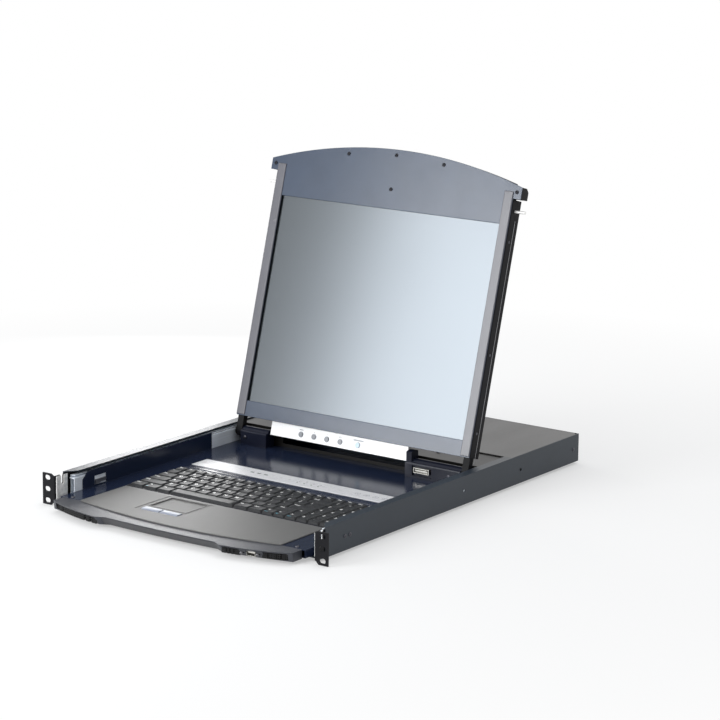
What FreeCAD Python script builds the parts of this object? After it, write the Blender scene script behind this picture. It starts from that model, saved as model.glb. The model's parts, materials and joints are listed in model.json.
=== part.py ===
import FreeCAD, Part
import math
import os

V = FreeCAD.Vector

# Rack-mount LCD console drawer, one rack unit high, drawer pushed in and screen raised.
# Lengths in mm.  +X is the user's right, -Y points out of the rack, +Z is up.
# The shapes are drawn with z = 0 at the bottom of the front panel; save() then moves
# them so that the origin is the centre of the rack hole pattern on the ears' front face.

# ---- rack interface, one unit ----
PANEL_W = 482.6
PANEL_H = 43.7
HOLE_INSET = 8.75
HOLE_PITCH = 15.875
SLOT_LENGTH = 10.0
SLOT_HEIGHT = 6.8
EAR_OVERHANG = 18.8
EAR_T = 2.0
EAR_BEND_R = 2.6
EAR_FLANGE_LENGTH = 80.0
EAR_CHAMFER = 4.5
EAR_TOP_CHAMFER = 2.5

# ---- chassis ----
BODY_DEPTH = 628.0
BODY_Z0 = 3.4
BODY_Z1 = 43.6
SHEET = 1.2
FIT = 0.3
SEAM = 1.5
CUT = 1.0
RIM_W = 13.7
RIM_LIP = 1.8
RIM_TAPER = 16.0
PAN_Y0 = 11.0
REAR_BOX_LENGTH = 174.5
COVER_BEVEL = 6.0
COVER_LIP = 3.0
COVER_GAP = 0.1
CABLE_WINDOW_HALF = 45.0
CABLE_WINDOW_MARGIN = 8.0

# ---- drawer ----
SLIDE_SPACE = 15.5
TRAY_LIFT = 0.6
DECK_Z = 16.0
DECK_Y0 = -2.0
TRAY_WALL_TOP = 39.6
TRAY_WALL_Y = (42.0, 320.0)
TRAY_WALL_BEVEL = 10.0
BEAD_GAP = 7.0
BEAD_W = 1.2
BEAD_DEPTH = 0.5
RIB_X = 150.0
RIB_Y0 = 20.0
RIB_T = 1.2
RIB_REAR_GAP = 8.0
RIB_H = 1.8
REAR_DECK_SETBACK = 11.6
REAR_DECK_Z = 42.0
REAR_DECK_INSET = 0.5
REAR_WINDOW = (10.0, 5.0, 8.0)

# ---- telescopic slides ----
SLIDE_Z = 23.5
SLIDE_H = 35.8
OUTER_T = 1.3
MEMBER_T = 1.2
BALL_GAP = 2.0
OUTER_Y0 = 84.0
MID_Y0 = 30.0
INNER_Y0 = 26.0
SLIDE_REAR_GAP = 3.5
MID_SHORTER = 20.0
INNER_SHORTER = 10.0
OUTER_FLANGE = 9.5
MID_FLANGE = 7.0
INNER_FLANGE = 7.2
# Relief slots of a member: first one from its front end, pitch, length and height.
OUTER_RELIEFS = (46.0, 90.0, 16.0, 5.0)
MID_RELIEFS = (60.0, 100.0, 20.0, 6.0)
INNER_RELIEFS = (94.0, 60.0, 14.0, 5.0)
CAGE_T = 1.4
CAGE_W = 5.0
CAGE_NOTCH = 2.4
CAGE_PITCH = 10.0
CAGE_COARSE = 75.0
CAGE_Y = (250.0, 400.0)
CATCH_Y0 = 67.0
CATCH_LENGTH = 22.0
CATCH_H = 5.0
CATCH_Z = 22.5
CATCH_T = 2.0
CATCH_TAB = 8.0
CATCH_TAB_DROP = 1.6
CATCH_CLEAR = 1.0
CATCH_SWING = 5.0

# ---- front edge of the drawer ----
FRONT_CORNER_INSET = 5.0
FRONT_CORNER_Y = -22.0
FRONT_MIDDLE_INSET = 50.0
FRONT_MIDDLE_Y = -39.5
FRONT_TIP = (104.0, -49.0)
GRIP_END = (91.0, -42.5)
GRIP_CENTRE_Y = -45.0
FRONT_SETBACK = 8.5
CORNER_SETBACK = 1.5
FRONT_Z0 = 3.8
FRONT_WALL = 2.0
FRONT_SKIN = 1.2
FRONT_REACH = -90.0
GRIP_HALF = 97.5
GRIP_REAR_Y = -21.0
GRIP_WALL = 3.0
GRIP_ROOF = 2.5
GRILLE_X0 = 107.0
GRILLE_SIDE = 11.0
GRILLE_Z = (5.4, 14.0)
GRILLE_T = 1.0
GRILLE_PITCH = 5.6
GRILLE_HOLE = 3.0
GRILLE_ROWS = 2
GRILLE_LAP = 1.2
GRILLE_FIT = 0.1
USB_SIDE = 59.0
USB_PANEL_W = 32.0
USB_W = 14.0
USB_H = 6.6
USB_DEPTH = 16.0
USB_WALL = 0.5
USB_CLEAR = 0.2
USB_TONGUE_HALF = 5.5
USB_TONGUE_T = 1.8
LAMP_X = 11.0
LAMP_R = 1.3

# ---- palm rest and pointing pad ----
PALM_W = 340.0
PALM_Y1 = 90.0
PALM_SIDE_Y = -4.0
PALM_FRONT_Y = -24.6
PALM_T = 1.6
PALM_CHAMFER = 0.6
PALM_BOSS_DEPTH = 4.6
PALM_BOSS_WALL = 2.0
PAD_FRAME = (-88.0, -9.0, 12.0, 83.0)
PAD_FRAME_DEPTH = 0.5
PAD = (-80.0, -18.0, 33.0, 81.0)
PAD_T = 1.2
PAD_DROP = 0.9
PAD_BUTTON_Y = (13.8, 27.2)
PAD_BUTTON_GAP = 1.2
PAD_BUTTON_RISE = 0.5
PAD_BUTTON_DEPTH = 2.4
PAD_BUTTON_TRAVEL = 1.0

# ---- keyboard ----
KEY_PITCH = 19.05
KEY_GAP = 0.85
KEY_DRAFT = 2.3
KEY_LEAN = 1.0
KEY_H = 4.6
KEY_TOP_Z = 19.4
KEY_ROWS_Y0 = 97.6
FUNCTION_DEPTH = 16.0
KEY_PEG = 5.0
KEY_PEG_CLEAR = 0.25
KEY_WELL_MARGIN = 2.4
KEY_PLATE_Z = 12.0
KEY_PLATE_T = 1.2
KEY_PAN_CLEAR = 0.2
KEY_PAN_WALL = 1.4
KEYS_WIDE = 18
# Key widths in pitches, left to right, from the nearest row to the function row.
KEY_ROWS = (
    (1.25, 1.25, 1.25, 5.75, 1.25, 1.25, 1.0, 1.0, 1.0, 1.0, 1.0, 1.0),
    (2.25,) + (1.0,) * 10 + (1.75, 1.0) + (1.0,) * 3,
    (1.75,) + (1.0,) * 11 + (2.25,) + (1.0,) * 3,
    (1.5,) + (1.0,) * 12 + (1.5,) + (1.0,) * 3,
    (1.0,) * 13 + (2.0,) + (1.0,) * 3,
    (KEYS_WIDE / 20,) * 20,
)

# ---- port strip behind the keyboard ----
STRIP_W = 346.0
STRIP_Y = (234.6, 269.0)
STRIP_T = 0.8
STRIP_CHAMFER = 0.3

# ---- screen hinge ----
HINGE_Y = 379.4
HINGE_Z = 33.1
LEAN_DEG = 15.63
SHAFT_R = 4.0
SHAFT_CLEAR = 0.06
SHAFT_LEFT_END = 10.0
SHAFT_RIGHT_LENGTH = 38.0
BORE_EXTRA = 2.0
KNUCKLE_R = 8.0
ARM_SIDE_GAP = 3.5
ARM_W = 11.5
ARM_INSET = 1.2
ARM_DEPTH = (-8.0, 1.0)
ARM_H = 40.0
POD_GAP = 0.5
POD_LEFT_W = 46.5
POD_RIGHT_W = 91.5
POD_FRONT_Y = 368.0
POD_TOP_Z = 37.0
POD_CHAMFER = (1.5, 2.0)
POD_BACK_CHAMFER = 3.0
TOWER_W = 9.0
TOWER_R = 19.0
TOWER_SETBACK = 3.0
# Window for the service port: from the housing's inner end, and its two heights.
POD_WINDOW_X = (12.0, 44.5)
POD_WINDOW_Z = (19.2, 33.4)
POD_WINDOW_DEPTH = 3.0
POD_PORT_MARGIN = (3.0, 4.2, 2.2)
POD_PORT_DEPTH = 6.5
POD_PORT_CLEAR = 0.2
POD_PORT_WALL = 1.0
POD_PORT_TONGUE = 2.6

# ---- screen panel, drawn upright with the hinge axis at its origin ----
LCD_SIDE_GAP = 3.0
LCD_FRONT = -12.0
LCD_T = 22.5
LCD_SKIN = 1.5
LCD_HEAD_SKIN = 4.0
LCD_HEAD_STEP = 0.6
LCD_HEAD_CHAMFER = 3.0
BEZEL_T = 1.2
BEZEL_H0 = 21.5
OPENING_H = (44.0, 345.6)
EDGE_STRIP_INSET = 1.0
EDGE_STRIP_W = 14.5
EDGE_STRIP_H = (23.0, 391.5)
EDGE_STRIP_RISE = 1.5
EDGE_STRIP_CHAMFER = 0.7
ARCH_INSET = 7.0
ARCH_SHOULDER = (381.5, 398.3)
ARCH_TOP = 430.3
SCREEN_RECESS = 3.4
SCREEN_T = 1.2
SCREEN_LAP = (1.0, 1.5)
MODULE_T = 9.0
MODULE_MARGIN = (2.5, 2.0)
MODULE_BRACKET_H = (80.0, 310.0)
MODULE_BRACKET_W = 10.0
PIN_H = 364.8
PIN_DEPTH = -2.0
PIN_R = 2.0
PIN_INSET = 1.5
PIN_CHAMFER = 0.6
PIN_CLEAR = 0.08
PIN_PLAY = 1.4
SLOT_FLARE = 2.0
SLOT_FLARE_H = 6.0
RELEASE_TRAVEL = 8.0
RELEASE_DEPTH = 16.5
RELEASE_BEVEL = 5.0
RELEASE_ARM_W = 8.0
RELEASE_ARM_T = 4.0
RELEASE_ARM_GAP = 0.4
RELEASE_ARM_TAIL = 5.0
RELEASE_LINK_H = 6.0
LATCH_PLATE_T = 1.2
LATCH_PLATE_LENGTH = 22.0
LATCH_PLATE_MARGIN = (4.0, 0.8)

# ---- control strip under the screen ----
OSD_END_GAP = (3.5, 2.0)
OSD_H = (1.5, 21.2)
OSD_FACE = -6.0
OSD_T = 3.5
OSD_BUTTON_FROM_LEFT = (53.9, 76.9, 99.7, 123.2)
POWER_BUTTON_FROM_RIGHT = 85.1
OSD_BUTTON_H = 10.0
OSD_BUTTON_R = 3.6
OSD_BUTTON_CLEAR = 0.15
OSD_BUTTON_RISE = 1.2
OSD_BUTTON_LENGTH = 3.2
BEAM_T = 1.6
BEAM_TOP = 38.0
BEAM_MARGIN = 1.0

# ---- rear panel ----
SWITCH_SIDE = 24.5
SWITCH_W = 13.0
SWITCH_H = 19.0
SWITCH_DEPTH = 14.0
SWITCH_WELL = 10.0
SWITCH_RISE = 1.2
SWITCH_WALL = 1.6
ROCKER_DEPTH = 3.0
ROCKER_THROW = 16.0
ROCKER_BOSS_R = 3.4
ROCKER_HEIGHTS = (2.0, 4.3, 5.5)
INLET_PITCH = 33.0
INLET_W = 27.0
INLET_H = 20.0
INLET_DEPTH = 24.0
INLET_WELL = 15.0
INLET_WALL = 2.0
INLET_CORNER = 3.0
INLET_RISE = 1.5
BLADES = ((-7.0, -2.0), (0.0, 2.0), (7.0, -2.0))
BLADE_T = 2.0
BLADE_W = 4.0
BLADE_LENGTH = 12.5
PANEL_CLEAR = 0.2
PORT_SIDE = 42.5
PORT_PITCH = 39.0
PORT_INLET_GAP = 40.0
PORT_W = 17.0
PORT_H = 8.6
PORT_SLANT = 1.6
PORT_WALL = 0.9
PORT_Z = 20.0
PORT_DEPTH = 9.0
PORT_RISE = 4.5
PORT_WELL = 1.2
PORT_POST_X = 12.4
PORT_POST_R = 2.6
PORT_POST_RISE = 3.5

# ---- electronics ----
BOARD_SIDE = 22.5
BOARD_LIFT = 6.0
BOARD_T = 1.6
BOARD_FRONT = 20.0
BOARD_REAR = 12.0
POST_W = 6.0
POST_INSET = 10.0
SINK_SIZE = 36.0
SINK_H = 10.4
SINK_X = (-70.0, 40.0)
SINK_Y = 40.0
SUPPLY_SIDE = 14.5
SUPPLY_W = 83.0
SUPPLY_H = 32.0
SUPPLY_REAR = 50.0
SUPPLY_BOARD_GAP = 25.0
VENT_COUNT = 7
VENT_W = 4.0
VENT_PITCH = 10.0
VENT_LENGTH = 50.0
VENT_DEPTH = 2.0

# ---- fasteners ----
SCREW_R = 2.7
SCREW_HEAD = 1.3
SCREW_SIDES = 8
SIDE_SCREW_Z = 22.6
SIDE_HOLE_R = 2.2
BACK_SCREW_X = (130.0, 210.0)
BACK_SCREW_DROP = 6.0
POD_SCREW_Z = 27.0

# ---- sizes that follow from the ones above ----
BODY_W = PANEL_W - 2 * EAR_OVERHANG
HOLE_SPACING = PANEL_W - 2 * HOLE_INSET
WALL_OUT = BODY_W / 2
WALL_IN = WALL_OUT - SHEET
RIM_IN = WALL_OUT - RIM_W
FLOOR_TOP = BODY_Z0 + SHEET
RIM_UNDER = BODY_Z1 - SHEET
PANEL_IN = BODY_DEPTH - SHEET
REAR_BOX_Y = BODY_DEPTH - REAR_BOX_LENGTH
FLANGE_IN = WALL_IN - EAR_T
FLANGE_TOP = PANEL_H - EAR_TOP_CHAMFER
LATCH_IN = FLANGE_IN - LATCH_PLATE_T
TRAY_HALF = WALL_OUT - SLIDE_SPACE
TRAY_IN = TRAY_HALF - SHEET
TRAY_Z0 = FLOOR_TOP + TRAY_LIFT
TRAY_FLOOR_TOP = TRAY_Z0 + SHEET
DECK_UNDER = DECK_Z - SHEET
REAR_DECK_Y0 = HINGE_Y + REAR_DECK_SETBACK
REAR_DECK_UNDER = REAR_DECK_Z - SHEET
TRAY_REAR = REAR_BOX_Y - SEAM
OUTER_Y1 = REAR_BOX_Y - SLIDE_REAR_GAP
MID_Y1 = OUTER_Y1 - MID_SHORTER
INNER_Y1 = OUTER_Y1 - INNER_SHORTER
OUTER_HALF = SLIDE_H / 2
MID_HALF = OUTER_HALF - OUTER_T - BALL_GAP
INNER_HALF = MID_HALF - MEMBER_T - BALL_GAP
OUTER_WEB_IN = WALL_IN - OUTER_T
MID_OUT = LATCH_IN - FIT
MID_WEB_IN = MID_OUT - MEMBER_T
INNER_WEB_OUT = TRAY_HALF + MEMBER_T
FRONT_CORNER = (TRAY_HALF - FRONT_CORNER_INSET, FRONT_CORNER_Y)
FRONT_MIDDLE = (TRAY_HALF - FRONT_MIDDLE_INSET, FRONT_MIDDLE_Y)
FRONT_FLOOR_TOP = FRONT_Z0 + FRONT_SKIN
GRILLE_X1 = TRAY_HALF - GRILLE_SIDE
USB_X = TRAY_HALF - USB_SIDE
USB_Y0 = FRONT_MIDDLE_Y + 1.0
USB_Z = (FRONT_Z0 + DECK_Z) / 2 - 0.4
PALM_TOP = DECK_Z + PALM_T
PAD_MIDDLE = (PAD[0] + PAD[1]) / 2
PAD_UNDER = PALM_TOP - PAD_FRAME_DEPTH - PAD_DROP - PAD_T
KEY_INSET = KEY_GAP / 2 + KEY_DRAFT
KEY_Z0 = KEY_TOP_Z - KEY_H
KEYBOARD_HALF = KEYS_WIDE * KEY_PITCH / 2
FUNCTION_ROW = len(KEY_ROWS) - 1
FUNCTION_Y = KEY_ROWS_Y0 + FUNCTION_ROW * KEY_PITCH
WELL_HALF = KEYBOARD_HALF + KEY_WELL_MARGIN
WELL_Y0 = KEY_ROWS_Y0 - KEY_WELL_MARGIN
WELL_Y1 = FUNCTION_Y + FUNCTION_DEPTH + KEY_WELL_MARGIN
LCD_HALF_W = TRAY_HALF - LCD_SIDE_GAP
LCD_BACK = LCD_FRONT + LCD_T
BEZEL_BACK = LCD_FRONT + BEZEL_T
EDGE_STRIP_X1 = LCD_HALF_W - EDGE_STRIP_INSET
EDGE_STRIP_X0 = EDGE_STRIP_X1 - EDGE_STRIP_W
OPENING_HALF = EDGE_STRIP_X0
SCREEN_Y0 = LCD_FRONT + SCREEN_RECESS
ARCH_HALF_W = WALL_OUT - ARCH_INSET
PIN_TIP = WALL_OUT - PIN_INSET
LATCH_Y = HINGE_Y - PIN_H
LATCH_Z = HINGE_Z + PIN_DEPTH
LATCH_SLOT_W = 2 * PIN_R + PIN_PLAY
LATCH_SLOT_BOTTOM = LATCH_Z - PIN_R - PIN_PLAY
WALL_Y0 = LATCH_Y + LATCH_SLOT_W
RELEASE_ARM_X = LCD_HALF_W - RELEASE_TRAVEL + RELEASE_ARM_GAP
RELEASE_H0 = ARCH_SHOULDER[0] + FIT
ARM_X1 = TRAY_HALF - ARM_SIDE_GAP
ARM_X0 = ARM_X1 - ARM_W
BEAM_HALF = ARM_X1 - ARM_INSET
POD_OUT = ARM_X0 - POD_GAP
POD_LEFT = (-POD_OUT, -POD_OUT + POD_LEFT_W)
POD_RIGHT = (POD_OUT - POD_RIGHT_W, POD_OUT)
OSD_X = (POD_LEFT[1] + OSD_END_GAP[0], POD_RIGHT[0] - OSD_END_GAP[1])
OSD_BUTTON_X = tuple(OSD_X[0] + distance for distance in OSD_BUTTON_FROM_LEFT)
POWER_BUTTON_X = OSD_X[1] - POWER_BUTTON_FROM_RIGHT
SWITCH_X = WALL_OUT - SWITCH_SIDE
INLET_X = SWITCH_X - INLET_PITCH
PORT_X0 = PORT_SIDE - WALL_OUT
PORT_COUNT = 1 + int((INLET_X - INLET_W / 2 - PORT_INLET_GAP - PORT_X0) / PORT_PITCH)
SUPPLY_X1 = WALL_OUT - SUPPLY_SIDE
SUPPLY_X0 = SUPPLY_X1 - SUPPLY_W
BOARD_X0 = BOARD_SIDE - WALL_OUT
BOARD_X1 = SUPPLY_X0 - SUPPLY_BOARD_GAP
BOARD_Z = FLOOR_TOP + BOARD_LIFT
SIDE_SCREW_Y = (61.7, 72.5, BODY_DEPTH - 14.4)
SIDE_HOLE_Y = (334.6, REAR_BOX_Y + 21.6)
POD_SCREW_X = (8.5 - POD_OUT, POD_OUT - 17.5)
DECK_SCREW = (TRAY_HALF - 17.0, 4.0)
COVER_SCREW = (120.0, REAR_DECK_Y0 + 30.0)
# Screws of the arched plate: distance from the middle and height above the hinge axis.
LCD_SCREWS = ((0.0, 422.0), (-82.0, 416.5), (82.0, 416.5), (0.0, 373.4), (7.5 - ARCH_HALF_W, 391.0),
              (ARCH_HALF_W - 7.5, 391.0))


# ---------------------------------------------------------------- helpers

def box(x0, x1, y0, y1, z0, z1):
    return Part.makeBox(x1 - x0, y1 - y0, z1 - z0, V(x0, y0, z0))


def rod_x(x0, x1, y, z, r):
    return Part.makeCylinder(r, x1 - x0, V(x0, y, z), V(1, 0, 0))


def rod_y(x, y0, y1, z, r):
    return Part.makeCylinder(r, y1 - y0, V(x, y0, z), V(0, 1, 0))


def prism_z(points, z0, z1):
    """Outline in plan, pulled up from z0 to z1."""
    corners = [V(x, y, z0) for x, y in points]
    face = Part.Face(Part.makePolygon(corners + corners[:1]))
    return face.extrude(V(0, 0, z1 - z0))


def prism_x(points, x0, x1):
    """Outline in side view, (y, z) points, pulled along X."""
    corners = [V(x0, y, z) for y, z in points]
    face = Part.Face(Part.makePolygon(corners + corners[:1]))
    return face.extrude(V(x1 - x0, 0, 0))


def prism_y(points, y0, y1):
    """Outline in front view, (x, z) points, pulled along Y."""
    corners = [V(x, y0, z) for x, z in points]
    face = Part.Face(Part.makePolygon(corners + corners[:1]))
    return face.extrude(V(0, y1 - y0, 0))


def mirrored(shape):
    return shape.mirror(V(0, 0, 0), V(1, 0, 0))


def on_side(shape, side):
    """A right-hand shape, kept on the right (+1) or mirrored to the left (-1)."""
    return shape if side > 0 else mirrored(shape)


def group(shapes):
    return Part.makeCompound(shapes)


def pair(shape):
    return group([mirrored(shape), shape])


def raised(shape):
    """Turn and move a shape of the screen frame to its place on the hinge."""
    placed = shape.copy()
    placed.rotate(V(0, 0, 0), V(1, 0, 0), -LEAN_DEG)
    placed.translate(V(0, HINGE_Y, HINGE_Z))
    return placed


def slot_xz(x, y0, y1, z, length, height):
    """A round-ended horizontal slot cutter through a plate that faces -Y."""
    half = (length - height) / 2
    bar = box(x - half, x + half, y0, y1, z - height / 2, z + height / 2)
    ends = [rod_y(x + s * half, y0, y1, z, height / 2) for s in (-1, 1)]
    return bar.fuse(ends).removeSplitter()


def ring(radius, sides):
    """Corners of a regular polygon about the origin."""
    turns = [2 * math.pi * i / sides for i in range(sides)]
    return [(radius * math.cos(turn), radius * math.sin(turn)) for turn in turns]


def places_along(y0, y1, first, pitch):
    """Places along Y, the first one set back from y0, as many as fit before y1."""
    count = 1 + int((y1 - y0 - first) / pitch)
    return [y0 + first + i * pitch for i in range(count)]


def screw(x, y, z, facing):
    """A low many-sided screw head, seated at a point and facing +X, -Y, +Y or +Z."""
    rim = ring(SCREW_R, SCREW_SIDES)
    if facing == "+z":
        return prism_z([(x + a, y + b) for a, b in rim], z, z + SCREW_HEAD)
    if facing == "+x":
        return prism_x([(y + a, z + b) for a, b in rim], x, x + SCREW_HEAD)
    if facing == "+y":
        return prism_y([(x + a, z + b) for a, b in rim], y, y + SCREW_HEAD)
    return prism_y([(x + a, z + b) for a, b in rim], y - SCREW_HEAD, y)


# ---------------------------------------------------------------- chassis

def base_pan():
    """Floor of the chassis with the cross wall of the electronics box and its cable window."""
    floor = box(-WALL_IN, WALL_IN, PAN_Y0, PANEL_IN, BODY_Z0, FLOOR_TOP)
    cross_y = REAR_BOX_Y + SEAM
    cross = box(-RIM_IN, RIM_IN, cross_y, cross_y + SHEET, FLOOR_TOP, RIM_UNDER)
    window = box(-CABLE_WINDOW_HALF, CABLE_WINDOW_HALF, cross_y - CUT, cross_y + SHEET + CUT,
                 FLOOR_TOP + CABLE_WINDOW_MARGIN, RIM_UNDER - CABLE_WINDOW_MARGIN)
    return floor.fuse(cross.cut(window)).removeSplitter()


def latch_slot():
    """Cutter for the open-topped slot that the screen's latch pin drops into."""
    half = LATCH_SLOT_W / 2
    seat = LATCH_SLOT_BOTTOM + half
    neck = PANEL_H - SLOT_FLARE_H
    mouth = half + SLOT_FLARE
    outline = [(LATCH_Y - half, seat), (LATCH_Y - half, neck), (LATCH_Y - mouth, PANEL_H + SLOT_FLARE),
               (LATCH_Y + mouth, PANEL_H + SLOT_FLARE), (LATCH_Y + half, neck), (LATCH_Y + half, seat)]
    slot = prism_x(outline, LATCH_IN - CUT, WALL_OUT + CUT)
    return slot.fuse(rod_x(LATCH_IN - CUT, WALL_OUT + CUT, LATCH_Y, seat, half))


def side_rail(side):
    """Side wall with the folded-in rim that covers the slide."""
    wall = box(WALL_IN, WALL_OUT, WALL_Y0, BODY_DEPTH, BODY_Z0, BODY_Z1)
    rim = prism_z([(WALL_IN, WALL_Y0), (RIM_IN, WALL_Y0 + RIM_TAPER), (RIM_IN, REAR_BOX_Y),
                   (WALL_IN, REAR_BOX_Y)], RIM_UNDER, BODY_Z1)
    lip = box(RIM_IN, RIM_IN + SHEET, WALL_Y0 + RIM_TAPER, REAR_BOX_Y, RIM_UNDER - RIM_LIP, RIM_UNDER)
    rail = wall.fuse([rim, lip]).removeSplitter()
    holes = [rod_x(WALL_IN - CUT, WALL_OUT + CUT, y, SIDE_SCREW_Z, SIDE_HOLE_R) for y in SIDE_HOLE_Y]
    return on_side(rail.cut(holes), side)


def rear_cover():
    """Top sheet of the electronics box, with bevelled rear corners and a folded front lip."""
    half = WALL_IN - COVER_GAP
    outline = [(-half, REAR_BOX_Y), (half, REAR_BOX_Y), (half, PANEL_IN - COVER_BEVEL),
               (half - COVER_BEVEL, PANEL_IN), (COVER_BEVEL - half, PANEL_IN), (-half, PANEL_IN - COVER_BEVEL)]
    top = prism_z(outline, RIM_UNDER, BODY_Z1)
    lip = box(-RIM_IN, RIM_IN, REAR_BOX_Y, REAR_BOX_Y + SHEET, RIM_UNDER - COVER_LIP, RIM_UNDER)
    return top.fuse(lip).removeSplitter()


def port_shell(x, grow):
    """D-shaped outline of one console port, grown all round by a margin."""
    w = PORT_W / 2 + grow
    h = PORT_H / 2 + grow
    foot = w - PORT_SLANT
    return [(x - w, PORT_Z + h), (x + w, PORT_Z + h), (x + foot, PORT_Z - h), (x - foot, PORT_Z - h)]


def hex_post(x):
    """Hexagonal jack post standing out of the rear panel."""
    points = [(x + a, PORT_Z + b) for a, b in ring(PORT_POST_R, 6)]
    return prism_y(points, BODY_DEPTH, BODY_DEPTH + PORT_POST_RISE)


def port_positions():
    return [PORT_X0 + i * PORT_PITCH for i in range(PORT_COUNT)]


def centred_box(x, z, half_w, half_h, y0, y1):
    """A block seen from behind as a rectangle about a centre."""
    return box(x - half_w, x + half_w, y0, y1, z - half_h, z + half_h)


def rear_panel():
    """Back plate with the cut-outs for the inlet, the rocker switch and the ports."""
    plate = box(-WALL_IN, WALL_IN, PANEL_IN, BODY_DEPTH, BODY_Z0, BODY_Z1)
    y0 = PANEL_IN - CUT
    y1 = BODY_DEPTH + CUT
    inlet = centred_box(INLET_X, SIDE_SCREW_Z, INLET_W / 2, INLET_H / 2, y0, y1)
    rocker = centred_box(SWITCH_X, SIDE_SCREW_Z, SWITCH_W / 2, SWITCH_H / 2, y0, y1)
    ports = [prism_y(port_shell(x, PANEL_CLEAR), y0, y1) for x in port_positions()]
    return plate.cut([inlet, rocker] + ports)


def rear_ports():
    """Row of D-shaped port connectors, each a hollow shell round its insert, with its jack posts."""
    pieces = []
    for x in port_positions():
        shell = prism_y(port_shell(x, 0.0), BODY_DEPTH - PORT_DEPTH, BODY_DEPTH + PORT_RISE)
        hollow = prism_y(port_shell(x, -PORT_WALL), BODY_DEPTH + PORT_RISE - PORT_WELL,
                         BODY_DEPTH + PORT_RISE + CUT)
        pieces.append(shell.cut(hollow))
        pieces.extend([hex_post(x - PORT_POST_X), hex_post(x + PORT_POST_X)])
    return group(pieces)


def power_inlet():
    """Three-pin appliance inlet with its blades in an open well, and the switch body beside it."""
    w = INLET_W / 2 - PANEL_CLEAR
    h = INLET_H / 2 - PANEL_CLEAR
    z = SIDE_SCREW_Z
    body = centred_box(INLET_X, z, w, h, BODY_DEPTH - INLET_DEPTH, BODY_DEPTH + INLET_RISE)
    well_w = w - INLET_WALL
    well_h = h - INLET_WALL
    corner = INLET_CORNER
    outline = [(-well_w, -well_h), (well_w, -well_h), (well_w, well_h - corner), (well_w - corner, well_h),
               (corner - well_w, well_h), (-well_w, well_h - corner)]
    floor_y = BODY_DEPTH - INLET_WELL
    well = prism_y([(INLET_X + x, z + dz) for x, dz in outline], floor_y, BODY_DEPTH + INLET_RISE + CUT)
    blades = [centred_box(INLET_X + dx, z + dz, BLADE_T / 2, BLADE_W / 2, floor_y - CUT / 2,
                          floor_y - CUT / 2 + BLADE_LENGTH) for dx, dz in BLADES]
    return group([body.cut(well).fuse(blades), switch_frame()])


def switch_frame():
    """Body of the mains switch, open where the rocker sits."""
    w = SWITCH_W / 2 - PANEL_CLEAR
    h = SWITCH_H / 2 - PANEL_CLEAR
    block = centred_box(SWITCH_X, SIDE_SCREW_Z, w, h, BODY_DEPTH - SWITCH_DEPTH, BODY_DEPTH + SWITCH_RISE)
    hole = centred_box(SWITCH_X, SIDE_SCREW_Z, w - SWITCH_WALL, h - SWITCH_WALL, BODY_DEPTH - SWITCH_WELL,
                       BODY_DEPTH + SWITCH_RISE + CUT)
    return block.cut(hole)


def power_rocker():
    """Rocker of the mains switch on its pivot boss, thrown towards its lower end."""
    w = SWITCH_W / 2 - PANEL_CLEAR - SWITCH_WALL - FIT
    h = SWITCH_H / 2 - PANEL_CLEAR - 2 * SWITCH_WALL
    y = BODY_DEPTH - ROCKER_DEPTH
    shoulder, middle, crest = ROCKER_HEIGHTS
    outline = [(-3.0, -2.5), (-3.0, 2.5), (shoulder, h), (crest, h), (middle, 0.0), (crest, -h), (shoulder, -h)]
    pivot = rod_x(SWITCH_X - w, SWITCH_X + w, y, SIDE_SCREW_Z, ROCKER_BOSS_R)
    blade = prism_x([(y + out, SIDE_SCREW_Z + up) for out, up in outline], SWITCH_X - w, SWITCH_X + w)
    rocker = blade.fuse(pivot)
    rocker.rotate(V(0, y, SIDE_SCREW_Z), V(1, 0, 0), -ROCKER_THROW / 2)
    return rocker


def rack_ears():
    """Black front ears: slotted plate, rounded bend and a flange inside the side wall."""
    half = PANEL_W / 2
    inner = FLANGE_IN
    root = inner + EAR_BEND_R
    shoulder = root + EAR_CHAMFER
    plate = prism_y([(root, EAR_CHAMFER), (shoulder, 0.0), (half, 0.0), (half, PANEL_H), (shoulder, PANEL_H),
                     (root, FLANGE_TOP)], 0.0, EAR_T)
    height = FLANGE_TOP - FLOOR_TOP
    centre = V(root, EAR_BEND_R, FLOOR_TOP)
    bend = Part.makeCylinder(EAR_BEND_R, height, centre, V(0, 0, 1))
    bend = bend.common(box(inner, root, 0.0, EAR_BEND_R, FLOOR_TOP, FLANGE_TOP))
    bend = bend.cut(Part.makeCylinder(EAR_BEND_R - EAR_T, height, centre, V(0, 0, 1)))
    flange = box(inner, WALL_IN, EAR_BEND_R, EAR_FLANGE_LENGTH, FLOOR_TOP, FLANGE_TOP)
    slots = [slot_xz(HOLE_SPACING / 2, -CUT, EAR_T + CUT, PANEL_H / 2 + k * HOLE_PITCH, SLOT_LENGTH,
                     SLOT_HEIGHT) for k in (-1, 0, 1)]
    return pair(plate.fuse([bend, flange]).removeSplitter().cut(slots + [latch_slot()]))


def latch_plates():
    """Bright plates inside the ears' flanges that hold the latch pins."""
    below, above = LATCH_PLATE_MARGIN
    plate = box(LATCH_IN, FLANGE_IN, EAR_BEND_R, EAR_BEND_R + LATCH_PLATE_LENGTH, EAR_CHAMFER + below,
                FLANGE_TOP - above)
    return pair(plate.cut(latch_slot()))


def channel(x_web0, x_web1, reach, y0, y1, half, thickness):
    """A C-section slide member: web between two x values, flanges reaching to x = reach."""
    z0 = SLIDE_Z - half
    z1 = SLIDE_Z + half
    web = box(x_web0, x_web1, y0, y1, z0, z1)
    x0 = min(x_web0, reach)
    x1 = max(x_web1, reach)
    upper = box(x0, x1, y0, y1, z1 - thickness, z1)
    lower = box(x0, x1, y0, y1, z0, z0 + thickness)
    return web.fuse([upper, lower]).removeSplitter()


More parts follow.
